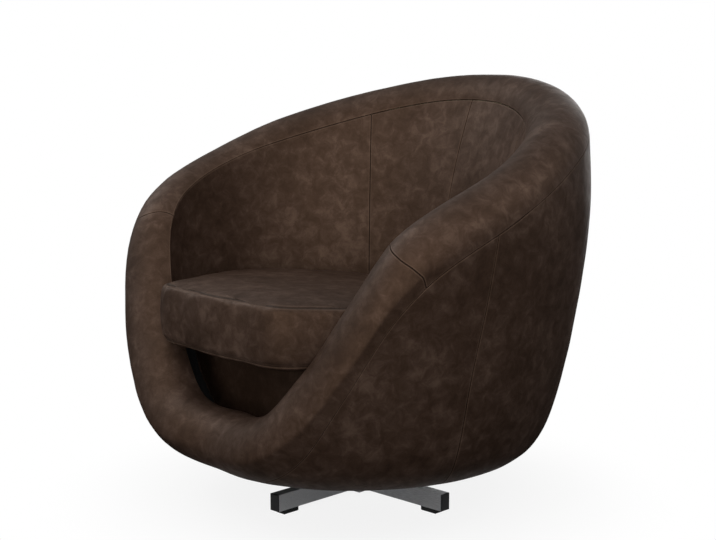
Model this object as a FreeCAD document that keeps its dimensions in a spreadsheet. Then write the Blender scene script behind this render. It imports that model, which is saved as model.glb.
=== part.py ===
import FreeCAD, Part
import Sketcher
import math
import os

# A round swivel armchair: an upholstered tub on a flat steel cross.
# The chair stands on z = 0 with the swivel axis on Z and its open front towards -Y.
# Right is +X, as seen by someone who faces the chair.

Vector = FreeCAD.Vector
doc = FreeCAD.newDocument("SwivelArmchair")
sheet = doc.addObject("Spreadsheet::Sheet", "Sizes")

SIZES = (
    ("chair_width", 890, "across the arms"),
    ("chair_depth", 760, "from the front roll to the back"),
    ("chair_height", 760, "floor to the top of the back"),
    ("shell_underside", 72, "floor to the underside of the tub"),
    ("front_roll_radius", 59, "half the thickness of the padded rim in front"),
    ("back_roll_radius", 52, "half the thickness of the padded rim at the back"),
    ("deck_height", 290.5, "floor to the seat deck under the cushion"),
    ("apron_set_back", 18.13, "front roll's inner face to the apron under the cushion"),
    ("leather", 2, "thickness of the hide with its backing"),
    ("layer_gap", 0.5, "clearance between layers"),
    ("padding_gap", 0.9, "clearance of the padding, and of the hoop under it"),
    ("front_ease", 1.6, "further clearance of the outer padding at the front roll"),
    ("seam_gap", 0.7, "clearance between hide panels at a seam"),
    ("foam_lift", 6, "foot of the inner hide to the foot of its foam"),
    ("wadding", 12, "padding under the outer hide"),
    ("liner", 3, "fibreboard that backs the padding"),
    ("back_foam", 40, "foam behind the inner back"),
    ("hoop_depth", 18, "laminated hoop, measured down"),
    ("plywood", 18, "base board and ribs"),
    ("well_lining", 6, "felt on the floor of the well"),
    ("rib_drop", 5, "gap between the hoop and the ribs below it"),
    ("rib_toe", 70, "how far a rib's foot runs in over the base board"),
    ("padding_joint", 12, "hoop's upper edge down to the wall padding"),
    ("ring_width", 20, "seat ring, measured across"),
    ("ring_depth", 44, "seat ring, measured down"),
    ("ring_drop", 16.5, "seat deck down to the top of the seat ring"),
    ("apron_board", 15, "thickness of the board under the deck's front edge"),
    ("deck_cloth", 1.5, "cloth over the deck pad"),
    ("deck_pad", 9.5, "felt pad over the springs"),
    ("spring_wire", 3.8, "diameter of a zigzag spring's wire"),
    ("spring_pitch", 22, "run to run along a zigzag spring"),
    ("spring_width", 46, "across a zigzag spring"),
    ("spring_spacing", 76, "spring to spring"),
    ("spring_count", 5, "springs in the seat"),
    ("clip_sheet", 1.2, "sheet steel of a spring clip"),
    ("clip_width", 16, "along the wire"),
    ("dust_cover", 1.2, "cloth under the base board"),
    ("cushion_side_gap", 2, "roll to the cushion, on each side"),
    ("cushion_width", "=chair_width - 4 * front_roll_radius - 2 * cushion_side_gap",
     "across the cushion at its seams"),
    ("cushion_middle", 80, "swivel axis to the top of the cushion's crown"),
    ("cushion_border", 102, "lower seam to upper seam"),
    ("cushion_crown", 28, "upper seam to the top of the crown"),
    ("cushion_sag", 9.5, "lower seam to the cushion's underside"),
    ("cushion_bulge", 5, "how far the border swells past its seams"),
    ("cushion_rest_gap", 0.3, "clearance to the deck"),
    ("zip_length", 420, "zip in the back of the border"),
    ("zip_width", 8, "across the zip"),
    ("base_span", 424, "tip to tip across the cross"),
    ("base_turn", 4.6, "degrees that the cross stands turned"),
    ("arm_width", 20, "rectangular tube, across"),
    ("arm_height", 30, "rectangular tube, upright"),
    ("arm_wall", 2, "wall of the tube"),
    ("hub_side", 64, "square block at the middle of the cross"),
    ("cap_flange", 3, "end cap, the part that shows"),
    ("cap_plug", 16, "end cap, the part inside the tube"),
    ("cap_play", 0.25, "plug to tube wall"),
    ("cap_rounding", 1.2, "end cap's rounded corners"),
    ("glide_height", 8, "black foot under an arm"),
    ("glide_length", 34, "foot, along the arm"),
    ("glide_inset", 15, "tip of the arm to the foot"),
    ("glide_rounding", 2, "foot's lower edge"),
    ("glide_screw_radius", 1.6, "screw that holds a foot"),
    ("glide_screw_length", 7, "screw below its head"),
    ("glide_screw_head", 3.2, "radius of the screw's head"),
    ("plate_sheet", 4, "swivel plates"),
    ("top_plate_radius", 100, "swivel plate under the tub"),
    ("bottom_plate_radius", 86, "swivel plate on the cross"),
    ("race_radius", 62, "circle of the balls"),
    ("race_width", 20, "width of a race ring"),
    ("ball_radius", 4, "bearing ball"),
    ("ball_play", 0.05, "ball to groove"),
    ("ball_count", 24, "balls in the bearing"),
    ("race_opening", 3, "gap between the two races"),
    ("cage_sheet", 1.6, "thickness of the ball cage"),
    ("pivot_radius", 6, "pivot bolt"),
    ("pivot_play", 0.4, "pivot bolt to its holes"),
    ("pivot_head_radius", 10, "across the corners, halved"),
    ("pivot_head_height", 7.5, "head of the pivot bolt"),
    ("pivot_nut_height", 10, "lock nut on the pivot bolt"),
    ("pivot_washer_radius", 13, "washer under the lock nut"),
    ("pivot_washer_sheet", 2, "washer's thickness"),
    ("pivot_lift", 0.3, "washer to the turning plate"),
    ("pivot_well_radius", 20, "hole in the base board round the lock nut"),
    ("bolt_radius", 3, "small bolts"),
    ("bolt_head_radius", 5.2, "head of a small bolt"),
    ("bolt_head_height", 3.2, "head of a small bolt"),
    ("bolt_play", 0.25, "small bolts to their holes"),
    ("plate_bolt_circle", 86, "radius of the bolts through the top plate"),
    ("plate_bolt_count", 6, "bolts through the top plate"),
    ("hub_bolt_spread", 20, "swivel axis to a hub bolt, along each side"),
    ("hub_bolt_depth", 14, "hub bolt below its head"),
)
for row, (alias, value, note) in enumerate(SIZES, start=1):
    sheet.set("A%d" % row, str(value))
    sheet.setAlias("A%d" % row, alias)
    sheet.set("B%d" % row, note)
doc.recompute()


def size(alias):
    """The number in the cell of this name."""
    return float(sheet.get(alias))


# Shapes of the tub as shares of its sizes

# Plan angles of the stations, in degrees from the middle of the front
STATIONS = (0, 20, 35, 46, 56, 66, 86, 108, 136, 160, 180)
# Middle of the padded rim: its distance from the axis, as a share of half the width
RIM_REACH_SHARES = (.634, .719, .782, .840, .879, .883, .856, .820, .778, .766, .764)
# Middle of the padded rim: its height, as a share of the chair's height
RIM_HEIGHT_SHARES = (.178, .193, .275, .408, .560, .642, .729, .810, .882, .921, .931)
# Widest reach of the outer wall, as a share of half the width
WALL_REACH_SHARES = (1.002, 1.004, 1.004, 1.004, 1.0, .993, .978, .946, .899, .894, .892)
# Outer wall from its turned-in edge to the top: height share and reach share
PROFILE_HEIGHT_SHARES = (0, 0, .0116, .029, .052, .0916, .16, .273, .404, .549, .695, .84, 1.0)
PROFILE_REACH_SHARES = (.44, .505, .58, .68, .76, .82, .87, .92, .962, 1.0, 1.02, 1.011, 1.0)
BOARD_REACH_SHARE = .49
COVER_REACH_SHARE = .43
# Where the outer padding begins, as a share of the wall's reach
PADDING_START_SHARE = .515
DEPTH_SHARE = 76 / 89
# Rim radius: angles where it changes from the front radius to the back one
ROLL_BLEND = (70, 180)
# Inner seam, in degrees from the top of the roll
INNER_SEAM = (33, 32, 32, 30, 33, 37, 46, 67, 79, 84, 85)
# Outer seam: 1 is the roll's widest line, and less is lower on the wall
OUTER_SEAM_SHARES = (.374, .691, .80, .90, .940, .973, 1.0, 1.05, 1.06, 1.06, 1.06)
# Half the roll's height as a share of its radius: the roll is cut aslant where it climbs
ROLL_STRETCH_SHARES = (1.0, 1.10, 1.58, 1.62, 1.40, 1.19, 1.10, 1.07, 1.03, 1.0, 1.0)
# Top of the hoop, in degrees from the top of the roll
HOOP_ANGLE = (58, 64, 76, 90, 90, 90, 90, 90, 90, 90, 90)
# Inner wall: how far its foot draws in, as a share of half the width
INNER_LEAN_SHARES = (.056, .140, .250, .310, .110, .050, .040, .068, .137, .190, .202)
# Inner wall: 0 draws in at the top first, 1 at the foot first
INNER_BEND_SHARES = (1, 1, 1, 1, 1, .9, .5, .1, 0, 0, 0)
# Plan angles between which the inner wall's foot climbs from the well to the seat ring
FOOT_CLIMB = (44, 58)
# Inner foam: its thickness as a share of the foam behind the back
INNER_FOAM_SHARES = (.14, .14, .16, .25, .5, .8, 1, 1, 1, 1, 1)

# Plan angles, in degrees, of the seams and the ribs
ARM_SEAM = 60
SIDE_SEAM = 77
BACK_SEAM = 136
# How far the arm and side seams lean round the chair along their length, in degrees
ARM_SEAM_LEAN = (1.9, -.6, -3.0, -4.3, -4.1, -3.4)
SIDE_SEAM_LEAN = (-3.5, -3.5, -3.4, -3.0, -1.2, .6)
LEAN_RANGE = 24
# Plan angle at which the front padding's further clearance ends
EASE_END = 66
RIBS = (("right_front", 70), ("right_side", 105), ("right_back", 140), ("back", 180),
        ("left_back", 220), ("left_side", 255), ("left_front", 290))

HALF_WIDTH = size("chair_width") / 2
HEIGHT = size("chair_height")
UNDERSIDE = size("shell_underside")
LEATHER = size("leather")
GAP = size("layer_gap")
DEPTH_RATIO = size("chair_depth") / size("chair_width") / DEPTH_SHARE
# Swivel axis to the apron
WELL_DEPTH = (RIM_REACH_SHARES[0] * HALF_WIDTH - size("front_roll_radius")) * DEPTH_RATIO - size("apron_set_back")
BOARD_BOTTOM = UNDERSIDE + LEATHER + GAP
BOARD_TOP = BOARD_BOTTOM + size("plywood")
WELL_FLOOR = BOARD_TOP + GAP + size("well_lining")
RING_TOP = size("deck_height") - size("ring_drop")
WALL_FOOT = RING_TOP + size("ring_drop") / 2
PADDING_GAP = size("padding_gap")
SEAM_GAP = size("seam_gap")
PADDING_DEPTH = LEATHER + PADDING_GAP
WADDING_DEPTH = PADDING_DEPTH + size("wadding")
LINER_DEPTH = WADDING_DEPTH + PADDING_GAP + size("liner")
SEAM_TURN = math.degrees(SEAM_GAP / 2 / HALF_WIDTH)
CURVE_STEP = .02
TURN_STEP = .4
MOST_STRETCH = 2.1


def slopes(stations, values, level_ends):
    """Slope of a smooth curve at each of its stations."""
    rises = [(values[k + 1] - values[k]) / (stations[k + 1] - stations[k]) for k in range(len(values) - 1)]
    middle = []
    for k in range(1, len(values) - 1):
        slope = (values[k + 1] - values[k - 1]) / (stations[k + 1] - stations[k - 1])
        if rises[k - 1] * rises[k] >= 0:
            steepest = 3 * min(abs(rises[k - 1]), abs(rises[k]))
            slope = math.copysign(min(abs(slope), steepest), slope)
        middle.append(slope)
    ends = (0, 0) if level_ends else (rises[0], rises[-1])
    return [ends[0]] + middle + [ends[1]]


def smooth(stations, values, at, level_ends=True):
    """Value at a place on the smooth curve through the stations."""
    at = min(max(at, stations[0]), stations[-1])
    k = max(i for i in range(len(stations) - 1) if stations[i] <= at)
    rise = slopes(stations, values, level_ends)
    run = stations[k + 1] - stations[k]
    part = (at - stations[k]) / run
    back = 1 - part
    return (values[k] * (1 + 2 * part) * back ** 2 + rise[k] * run * part * back ** 2
            + values[k + 1] * (1 + 2 * back) * part ** 2 - rise[k + 1] * run * back * part ** 2)


def profile_lengths():
    """Distance along the outer wall's profile at each of its points."""
    lengths = [0]
    for k in range(1, len(PROFILE_HEIGHT_SHARES)):
        rise = (PROFILE_HEIGHT_SHARES[k] - PROFILE_HEIGHT_SHARES[k - 1]) * (HEIGHT - UNDERSIDE)
        reach = (PROFILE_REACH_SHARES[k] - PROFILE_REACH_SHARES[k - 1]) * HALF_WIDTH
        lengths.append(lengths[-1] + math.hypot(rise, reach))
    return lengths


PROFILE = profile_lengths()


def profile_height(length):
    share = smooth(PROFILE, PROFILE_HEIGHT_SHARES, length, level_ends=False)
    return UNDERSIDE + (HEIGHT - UNDERSIDE) * share


def profile_reach(length):
    return smooth(PROFILE, PROFILE_REACH_SHARES, length, level_ends=False)


def find(function, wanted, low, high):
    """Where a rising function takes a value."""
    for _ in range(40):
        middle = (low + high) / 2
        if function(middle) < wanted:
            low = middle
        else:
            high = middle
    return (low + high) / 2


def profile_length(height):
    """Distance along the profile where it reaches a height."""
    return find(profile_height, height, PROFILE[0], PROFILE[-1])


class Section:
    """The tub cut by an upright half plane through the swivel axis.

    A place along it runs from 0 at the turned-in edge to 1 at the roll's widest line,
    over the roll to the inner seam, and 1 further to the foot of the inner wall.
    """

    def __init__(self, turn):
        at = abs(turn) % 360
        at = 360 - at if at > 180 else at
        self.reach = smooth(STATIONS, RIM_REACH_SHARES, at) * HALF_WIDTH
        self.height = smooth(STATIONS, RIM_HEIGHT_SHARES, at) * HEIGHT
        self.wall = smooth(STATIONS, WALL_REACH_SHARES, at) * HALF_WIDTH
        blend = min(max((at - ROLL_BLEND[0]) / (ROLL_BLEND[1] - ROLL_BLEND[0]), 0), 1)
        self.radius = size("front_roll_radius") * (1 - blend) + size("back_roll_radius") * blend
        self.rise = self.radius * smooth(STATIONS, ROLL_STRETCH_SHARES, at)
        self.wall_length = profile_length(self.height)
        self.step_out = self.reach + self.radius - self.wall * profile_reach(self.wall_length)
        self.inner = math.radians(smooth(STATIONS, INNER_SEAM, at))
        self.inner_seam = 1 + (math.pi / 2 + self.inner) / math.pi
        outer = smooth(STATIONS, OUTER_SEAM_SHARES, at)
        self.outer_seam = outer
        self.hoop = math.radians(smooth(STATIONS, HOOP_ANGLE, at))
        self.lean = smooth(STATIONS, INNER_LEAN_SHARES, at) * HALF_WIDTH
        self.bend = smooth(STATIONS, INNER_BEND_SHARES, at)
        climb = min(max((at - FOOT_CLIMB[0]) / (FOOT_CLIMB[1] - FOOT_CLIMB[0]), 0), 1)
        climb = climb ** 2 * (3 - 2 * climb)
        self.foot = (WELL_FLOOR + GAP) * (1 - climb) + WALL_FOOT * climb
        self.foam = smooth(STATIONS, INNER_FOAM_SHARES, at) * size("back_foam")
        self.seam_reach = self.reach - self.radius * math.sin(self.inner)
        self.seam_height = self.height + self.rise * math.cos(self.inner)

    def point(self, place):
        """Reach and height of a place on the hide's outer face."""
        if place <= 1:
            share = max(place, 0)
            length = self.wall_length * share
            return self.wall * profile_reach(length) + self.step_out * share ** 3, profile_height(length)
        if place <= self.inner_seam:
            lean = math.pi / 2 - math.pi * (place - 1)
            return self.reach + self.radius * math.sin(lean), self.height + self.rise * math.cos(lean)
        down = min(place - self.inner_seam, 1)
        drawn = (1 - self.bend) * (2 * down - down ** 2) + self.bend * down ** 2
        return self.seam_reach - self.lean * drawn, self.seam_height + (self.foot - self.seam_height) * down

    def inner_place(self, height):
        """Place on the inner side at a height."""
        if height > self.seam_height:
            return 1 + (math.pi / 2 + math.acos((height - self.height) / self.rise)) / math.pi
        return self.inner_seam + (self.seam_height - height) / (self.seam_height - self.foot)

    def outer_place(self, height):
        """Place on the outer side at a height."""
        if height > self.height:
            return 1 + (math.pi / 2 - math.acos((height - self.height) / self.rise)) / math.pi
        return profile_length(height) / self.wall_length


SECTIONS = {}


def section(turn):
    key = round(turn, 5)
    if key not in SECTIONS:
        SECTIONS[key] = Section(key)
    return SECTIONS[key]


def under_hide(turn, place, depth):
    """Reach and height at a depth below the hide's outer face."""
    here = section(turn)
    reach, height = here.point(place)
    last = here.inner_seam + 1
    before = here.point(max(place - CURVE_STEP, 0))
    after = here.point(min(place + CURVE_STEP, last))
    along = math.hypot(after[0] - before[0], after[1] - before[1])
    inward = (-(after[1] - before[1]) / along, (after[0] - before[0]) / along)
    ahead = section(turn + TURN_STEP).point(place)
    behind = section(turn - TURN_STEP).point(place)
    shift = (ahead[0] - behind[0]) * inward[0] + (ahead[1] - behind[1]) * inward[1]
    around = 2 * math.radians(TURN_STEP) * reach
    stretch = min(math.hypot(1, shift / around), MOST_STRETCH)
    return reach + inward[0] * depth * stretch, height + inward[1] * depth * stretch


def plan(turn, reach, height):
    """The point of space at a plan angle, a reach and a height."""
    angle = math.radians(turn)
    return Vector(reach * math.sin(angle), -reach * math.cos(angle) * DEPTH_RATIO, height)


def spread(turn, start, end, count, trim=0.0, crowd=1.0):
    """Places from start to end, each end drawn in by a trim.

    They stand at even distances, or nearer the start where crowd is above 1.
    """
    fine = 40
    places = [start + (end - start) * k / fine for k in range(fine + 1)]
    points = [section(turn).point(place) for place in places]
    lengths = [0]
    for k in range(fine):
        lengths.append(lengths[-1] + math.dist(points[k], points[k + 1]))
    result = []
    for k in range(count):
        wanted = trim + (lengths[-1] - 2 * trim) * (k / (count - 1)) ** crowd
        i = max(j for j in range(fine) if lengths[j] <= wanted)
        part = (wanted - lengths[i]) / (lengths[i + 1] - lengths[i])
        result.append(places[i] + (places[i + 1] - places[i]) * part)
    return result


def turns(start, end, step=6.0):
    """Plan angles from start to end, evenly spaced."""
    count = max(int(round((end - start) / step)), 2)
    return [start + (end - start) * k / count for k in range(count + 1)]


# Building solids from rows of points


def curve_through(points):
    """A smooth curve with its points at even parameters."""
    curve = Part.BSplineCurve()
    last = len(points) - 1
    curve.interpolate(Points=points, Parameters=[k / last for k in range(last + 1)])
    return curve


def net_through(rows):
    """Control points of the smooth surface through rows of points."""
    across = [curve_through(row).getPoles() for row in rows]
    columns = [curve_through(list(column)).getPoles() for column in zip(*across)]
    return [list(row) for row in zip(*columns)]


def knots_for(poles):
    """Multiplicities, knots and degree for a number of control points."""
    if poles == 2:
        return [2, 2], [0, 1], 1
    spans = poles - 3
    return [4] + [1] * (spans - 1) + [4], [k / spans for k in range(spans + 1)], 3


def face_on(net):
    """The face of a net of control points."""
    u_mults, u_knots, u_degree = knots_for(len(net))
    v_mults, v_knots, v_degree = knots_for(len(net[0]))
    surface = Part.BSplineSurface()
    surface.buildFromPolesMultsKnots(net, u_mults, v_mults, u_knots, v_knots, False, False,
                                     u_degree, v_degree)
    return surface.toShape()


def edge_on(poles):
    """The edge of a row of control points."""
    mults, knots, degree = knots_for(len(poles))
    curve = Part.BSplineCurve()
    curve.buildFromPolesMultsKnots(poles, mults, knots, False, degree)
    return curve.toShape()


def borders(net):
    """The four border rows of a net of control points."""
    return net[0], net[-1], [row[0] for row in net], [row[-1] for row in net]


def closed_solid(faces):
    """One solid from the faces that close it."""
    shell = Part.makeShell(faces)
    shell.sewShape()
    solid = Part.makeSolid(Part.Shell(shell.Faces))
    if solid.Volume < 0:
        solid.reverse()
    return solid


def leaned(turn, part, seam, lean):
    """A plan angle, turned on by the lean of a nearby seam at this part of its length."""
    at = (turn + 180) % 360 - 180
    near = max(1 - abs(abs(at) - seam) / LEAN_RANGE, 0)
    parts = [k / (len(lean) - 1) for k in range(len(lean))]
    shift = near ** 2 * (3 - 2 * near) * smooth(parts, lean, part, level_ends=False)
    return turn + math.copysign(shift, shift * at)


def layer(angles, start, end, outer_depth, inner_depth, count=9, trim=0.0, crowd=1.0, seam=None):
    """A padded or hide layer between two depths, from one place to another."""
    nets = []
    for depth in (outer_depth, inner_depth):
        rows = []
        for turn in angles:
            below = depth(turn) if callable(depth) else depth
            row = []
            for place in spread(turn, start(turn), end(turn), count, trim, crowd):
                there = turn
                if seam:
                    part = (place - start(turn)) / (end(turn) - start(turn))
                    there = leaned(turn, part, *seam)
                    place = start(there) + part * (end(there) - start(there))
                row.append(plan(there, *under_hide(there, place, below)))
            rows.append(row)
        nets.append(net_through(rows))
    faces = [face_on(net) for net in nets]
    faces += [face_on([one, other]) for one, other in zip(borders(nets[0]), borders(nets[1]))]
    return closed_solid(faces)


def beam(rails):
    """A solid between rails, each a row of points, with flat ends."""
    rows = [curve_through(rail).getPoles() for rail in rails]
    faces = [face_on([rows[k - 1], rows[k]]) for k in range(len(rows))]
    for end in (0, -1):
        corners = [row[end] for row in rows]
        faces.append(Part.Face(Part.makePolygon(corners + corners[:1])))
    return closed_solid(faces)


def half_round(angles, start, corner, end, depth):
    """The foam of the roll: round above, with a corner at the seam, and flat below."""
    over, down = [], []
    for turn in angles:
        for rows, first, last, count in ((over, start, corner, 13), (down, corner, end, 5)):
            places = spread(turn, first(turn), last(turn), count)
            rows.append([plan(turn, *under_hide(turn, place, depth)) for place in places])
    over, down = net_through(over), net_through(down)
    low, high = borders(over)[2], borders(down)[3]
    faces = [face_on(over), face_on(down), face_on([low, high])]
    for row in (0, -1):
        near, far = over[row], down[row]
        wire = Part.Wire([edge_on(near), edge_on(far), Part.makeLine(far[-1], near[0])])
        faces.append(Part.Face(wire))
    return closed_solid(faces)


def mirrored(shape):
    return shape.mirror(Vector(0, 0, 0), Vector(1, 0, 0))


def feature(name, shape):
    """A sub-part whose shape is set from the sizes of the sheet."""
    piece = doc.addObject("Part::Feature", name)
    piece.Label = name
    piece.Shape = shape
    piece.Placement = FreeCAD.Placement()
    SUBPARTS.append(piece)
    return piece


SUBPARTS = []


# Hide

# The outer wall bends most near its foot, so its points stand closer there
LOW_CROWD = {"count": 21, "crowd": 1.3}


def to_outer_seam(turn):
    return section(turn).outer_seam


def to_inner_seam(turn):
    return section(turn).inner_seam


def to_foot(turn):
    return section(turn).inner_seam + 1


def edge(turn):
    return 0


def hide(name, start_turn, end_turn, start, end, step=6.0, **options):
    angles = turns(start_turn + SEAM_TURN, end_turn - SEAM_TURN, step)
    return feature(name, layer(angles, start, end, 0, LEATHER, trim=SEAM_GAP / 2, **options))


def make_hide():
    outer = {"seam": (SIDE_SEAM, SIDE_SEAM_LEAN), **LOW_CROWD}
    rim = {"seam": (ARM_SEAM, ARM_SEAM_LEAN), "count": 13}
    hide("outer_side_panel_right", 0, SIDE_SEAM, edge, to_outer_seam, **outer)
    hide("outer_side_panel_left", -SIDE_SEAM, 0, edge, to_outer_seam, **outer)
    hide("outer_back_panel", SIDE_SEAM, 360 - SIDE_SEAM, edge, to_outer_seam, **outer)
    hide("rim_cover_upper", ARM_SEAM, 360 - ARM_SEAM, to_outer_seam, to_inner_seam, 4, **rim)
    hide("rim_cover_front", -ARM_SEAM, ARM_SEAM, to_outer_seam, to_inner_seam, 4, **rim)
    hide("inner_side_panel_right", 0, BACK_SEAM, to_inner_seam, to_foot, 4)
    hide("inner_side_panel_left", -BACK_SEAM, 0, to_inner_seam, to_foot, 4)
    hide("inner_back_panel_right", BACK_SEAM, 180, to_inner_seam, to_foot)
    hide("inner_back_panel_left", 180, 360 - BACK_SEAM, to_inner_seam, to_foot)


# Padding and frame of the tub


def hoop_height(turn):
    """Height at which the foam of the roll ends."""
    here = section(turn)
    return here.height + here.rise * math.cos(here.hoop)


def outer_hoop_place(turn):
    return section(turn).outer_place(hoop_height(turn))


def inner_hoop_place(turn):
    return section(turn).inner_place(hoop_height(turn))


def below_outer_hoop(turn):
    return outer_hoop_place(turn) - size("padding_joint") / section(turn).wall_length


def below_inner_hoop(turn):
    here = section(turn)
    return inner_hoop_place(turn) + size("padding_joint") / (here.seam_height - here.foot)


def padding_start(turn):
    """Where the outer padding begins, beside the base board."""
    return find(profile_reach, PADDING_START_SHARE, PROFILE[0], PROFILE[6]) / section(turn).wall_length


def wadding_top(turn):
    """Depth of the outer padding's face: the hide bends sharply over the front roll."""
    front = max(1 - turn / EASE_END, 0)
    return PADDING_DEPTH + size("front_ease") * front ** 2 * (3 - 2 * front)


def to_foam_foot(turn):
    here = section(turn)
    return here.inner_seam + 1 - size("foam_lift") / (here.seam_height - here.foot)


def inner_foam_depth(turn):
    return PADDING_DEPTH + section(turn).foam


def make_padding():
    half = turns(SEAM_TURN, 180)
    wadding = layer(half, padding_start, below_outer_hoop, wadding_top, WADDING_DEPTH, **LOW_CROWD)
    feature("outer_wadding", Part.makeCompound([wadding, mirrored(wadding)]))
    liner = layer(half, padding_start, below_outer_hoop, WADDING_DEPTH + PADDING_GAP, LINER_DEPTH,
                  **LOW_CROWD)
    feature("outer_liner", Part.makeCompound([liner, mirrored(liner)]))
    inner = layer(turns(SEAM_TURN, 180, 4), below_inner_hoop, to_foam_foot, PADDING_DEPTH,
                  inner_foam_depth)
    feature("inner_wall_foam", Part.makeCompound([inner, mirrored(inner)]))
    upper = half_round(turns(ARM_SEAM, 180), outer_hoop_place, to_inner_seam, inner_hoop_place,
                       PADDING_DEPTH)
    feature("rim_foam_upper", Part.makeCompound([upper, mirrored(upper)]))
    front = turns(SEAM_TURN - ARM_SEAM, ARM_SEAM - SEAM_TURN, 4)
    lower = half_round(front, outer_hoop_place, to_inner_seam, inner_hoop_place, PADDING_DEPTH)
    feature("rim_foam_front", lower)


def reach_inside(turn, height, depth, inner=False):
    """Reach at a height and at a depth below the hide, on the outer or the inner side."""
    here = section(turn)

    def lifted(place):
        return under_hide(turn, place, depth)[1]

    if inner:
        place = find(lambda back: lifted(-back), height, -here.inner_seam - 1, -3 / 2)
        return under_hide(turn, -place, depth)[0]
    return under_hide(turn, find(lifted, height, 0, 3 / 2), depth)[0]


def hoop_corners(turn):
    """Reach and height of the hoop's four corners at a plan angle."""
    here = section(turn)
    places = (outer_hoop_place(turn), inner_hoop_place(turn))
    top = min(under_hide(turn, place, PADDING_DEPTH)[1] for place in places) - PADDING_GAP
    bottom = top - size("hoop_depth") * min(here.rise / here.radius, MOST_STRETCH)
    corners = []
    for height in (top, bottom):
        outer = reach_inside(turn, height, LINER_DEPTH + 6 * GAP)
        inner = reach_inside(turn, height, inner_foam_depth(turn) + 5 * GAP, inner=True)
        corners.append((outer, inner, height))
    return corners


def make_hoop():
    rails = [[], [], [], []]
    for turn in turns(SEAM_TURN, 180, 4):
        (top_outer, top_inner, top), (low_outer, low_inner, bottom) = hoop_corners(turn)
        rails[0].append(plan(turn, top_outer, top))
        rails[1].append(plan(turn, top_inner, top))
        rails[2].append(plan(turn, low_inner, bottom))
        rails[3].append(plan(turn, low_outer, bottom))
    half = beam(rails)
    feature("rim_hoop", Part.makeCompound([half, mirrored(half)]))


def ring_reach(turn):
    """Inner reach of the seat ring: just inside the foam of the inner wall."""
    reach, _ = under_hide(turn, to_foot(turn), LEATHER + GAP)
    return reach


def make_seat_ring():
    rails = [[], [], [], []]
    width = size("ring_width")
    bottom = RING_TOP - size("ring_depth")
    for turn in turns(FOOT_CLIMB[1] - 1, 180):
        inner = ring_reach(turn)
        rails[0].append(plan(turn, inner + width, RING_TOP))
        rails[1].append(plan(turn, inner, RING_TOP))
        rails[2].append(plan(turn, inner, bottom))
        rails[3].append(plan(turn, inner + width, bottom))
    ring = beam(rails)
    feature("seat_ring_right", ring)
    feature("seat_ring_left", mirrored(ring))


def rib_outline(turn):
    """Corner points of a rib, as reach and height, clear of all that it meets."""
    here = section(turn)
    side_step = math.degrees(size("plywood") / 2 / here.reach)
    sides = (turn - side_step, turn, turn + side_step)
    top = min(hoop_corners(side)[1][2] for side in sides) - size("rib_drop")
    ring_bottom = RING_TOP - size("ring_depth")
    outer, inner = [], []
    start = padding_start(turn)
    stop = here.outer_place(top)
    for place in spread(turn, start, stop, 12, crowd=LOW_CROWD["crowd"]):
        height = under_hide(turn, place, LINER_DEPTH + 4 * GAP)[1]
        if BOARD_TOP < height < top:
            reach = min(reach_inside(side, height, LINER_DEPTH + 4 * GAP) for side in sides)
            outer.append((reach, height))
    levels = 8
    for k in range(levels + 1):
        height = top - (top - RING_TOP) * k / levels
        reach = max(inner_reach(side, max(height, here.foot)) for side in sides)
        inner.append((reach, height))
    inner_top = (inner[0][0], top)
    outer.append((outer[-1][0], top))
    behind_ring = max(ring_reach(side) for side in sides) + size("ring_width") + 8 * GAP
    board_edge = outer[0][0] - GAP
    lower = [(behind_ring, RING_TOP), (behind_ring, ring_bottom - GAP),
             (board_edge - size("rib_toe"), BOARD_TOP)]
    return [(board_edge, BOARD_TOP)] + outer + [inner_top] + inner[1:] + lower


def inner_reach(turn, height):
    """Reach of the inner foam's back face, and a gap, at a height."""
    return reach_inside(turn, height, inner_foam_depth(turn) + 7 * GAP, inner=True)


def make_ribs():
    for name, turn in RIBS:
        points = [plan(turn, reach, height) for reach, height in rib_outline(turn)]
        face = Part.Face(Part.makePolygon(points + points[:1]))
        normal = face.normalAt(0, 0)
        shape = face.extrude(normal * size("plywood"))
        shape.translate(normal * (-size("plywood") / 2))
        feature("rib_" + name, shape)


def outline_wire(reach_share, height):
    """A closed line round the tub at a share of its wall's reach."""
    points = [plan(turn, section(turn).wall * reach_share, height) for turn in range(0, 360, 12)]
    curve = Part.BSplineCurve()
    curve.interpolate(points, PeriodicFlag=True)
    return Part.Wire(curve.toShape())


def make_boards():
    up = Vector(0, 0, 1)
    board = Part.Face(outline_wire(BOARD_REACH_SHARE, BOARD_BOTTOM)).extrude(up * size("plywood"))
    well = Part.makeCylinder(size("pivot_well_radius"), size("plywood") * 2, Vector(0, 0, UNDERSIDE))
    board = board.cut(well)
    for turn in range(int(size("plate_bolt_count"))):
        angle = 2 * math.pi * turn / size("plate_bolt_count")
        foot = Vector(math.cos(angle), math.sin(angle), 0) * size("plate_bolt_circle")
        hole = Part.makeCylinder(size("bolt_radius") + size("bolt_play"), size("plywood") * 2,
                                 foot + up * UNDERSIDE)
        board = board.cut(hole)
    feature("base_board", board)
    bottom = BOARD_BOTTOM - GAP / 2 - size("dust_cover")
    cloth = Part.Face(outline_wire(COVER_REACH_SHARE, bottom)).extrude(up * size("dust_cover"))
    opening = Part.makeCylinder(size("top_plate_radius") + GAP, size("plywood"),
                                Vector(0, 0, UNDERSIDE - LEATHER))
    feature("dust_cover", cloth.cut(opening))


def wall_reach(turn, height):
    """Reach of the inner wall's face at a height, or at its foot if that is higher."""
    here = section(turn)
    return here.point(here.inner_place(max(height, here.foot)))[0]


def wall_turn(front, height):
    """Plan angle at which the inner wall crosses an upright plane at a height."""

    def behind(turn):
        return -wall_reach(turn, height) * math.cos(math.radians(turn)) * DEPTH_RATIO

    return find(behind, -front, 0, SIDE_SEAM)


def apron_half_width(front, height):
    """Half the room between the inner walls at a plane and a height."""
    turn = wall_turn(front, height)
    return wall_reach(turn, height) * math.sin(math.radians(turn)) - 3 * GAP


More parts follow.
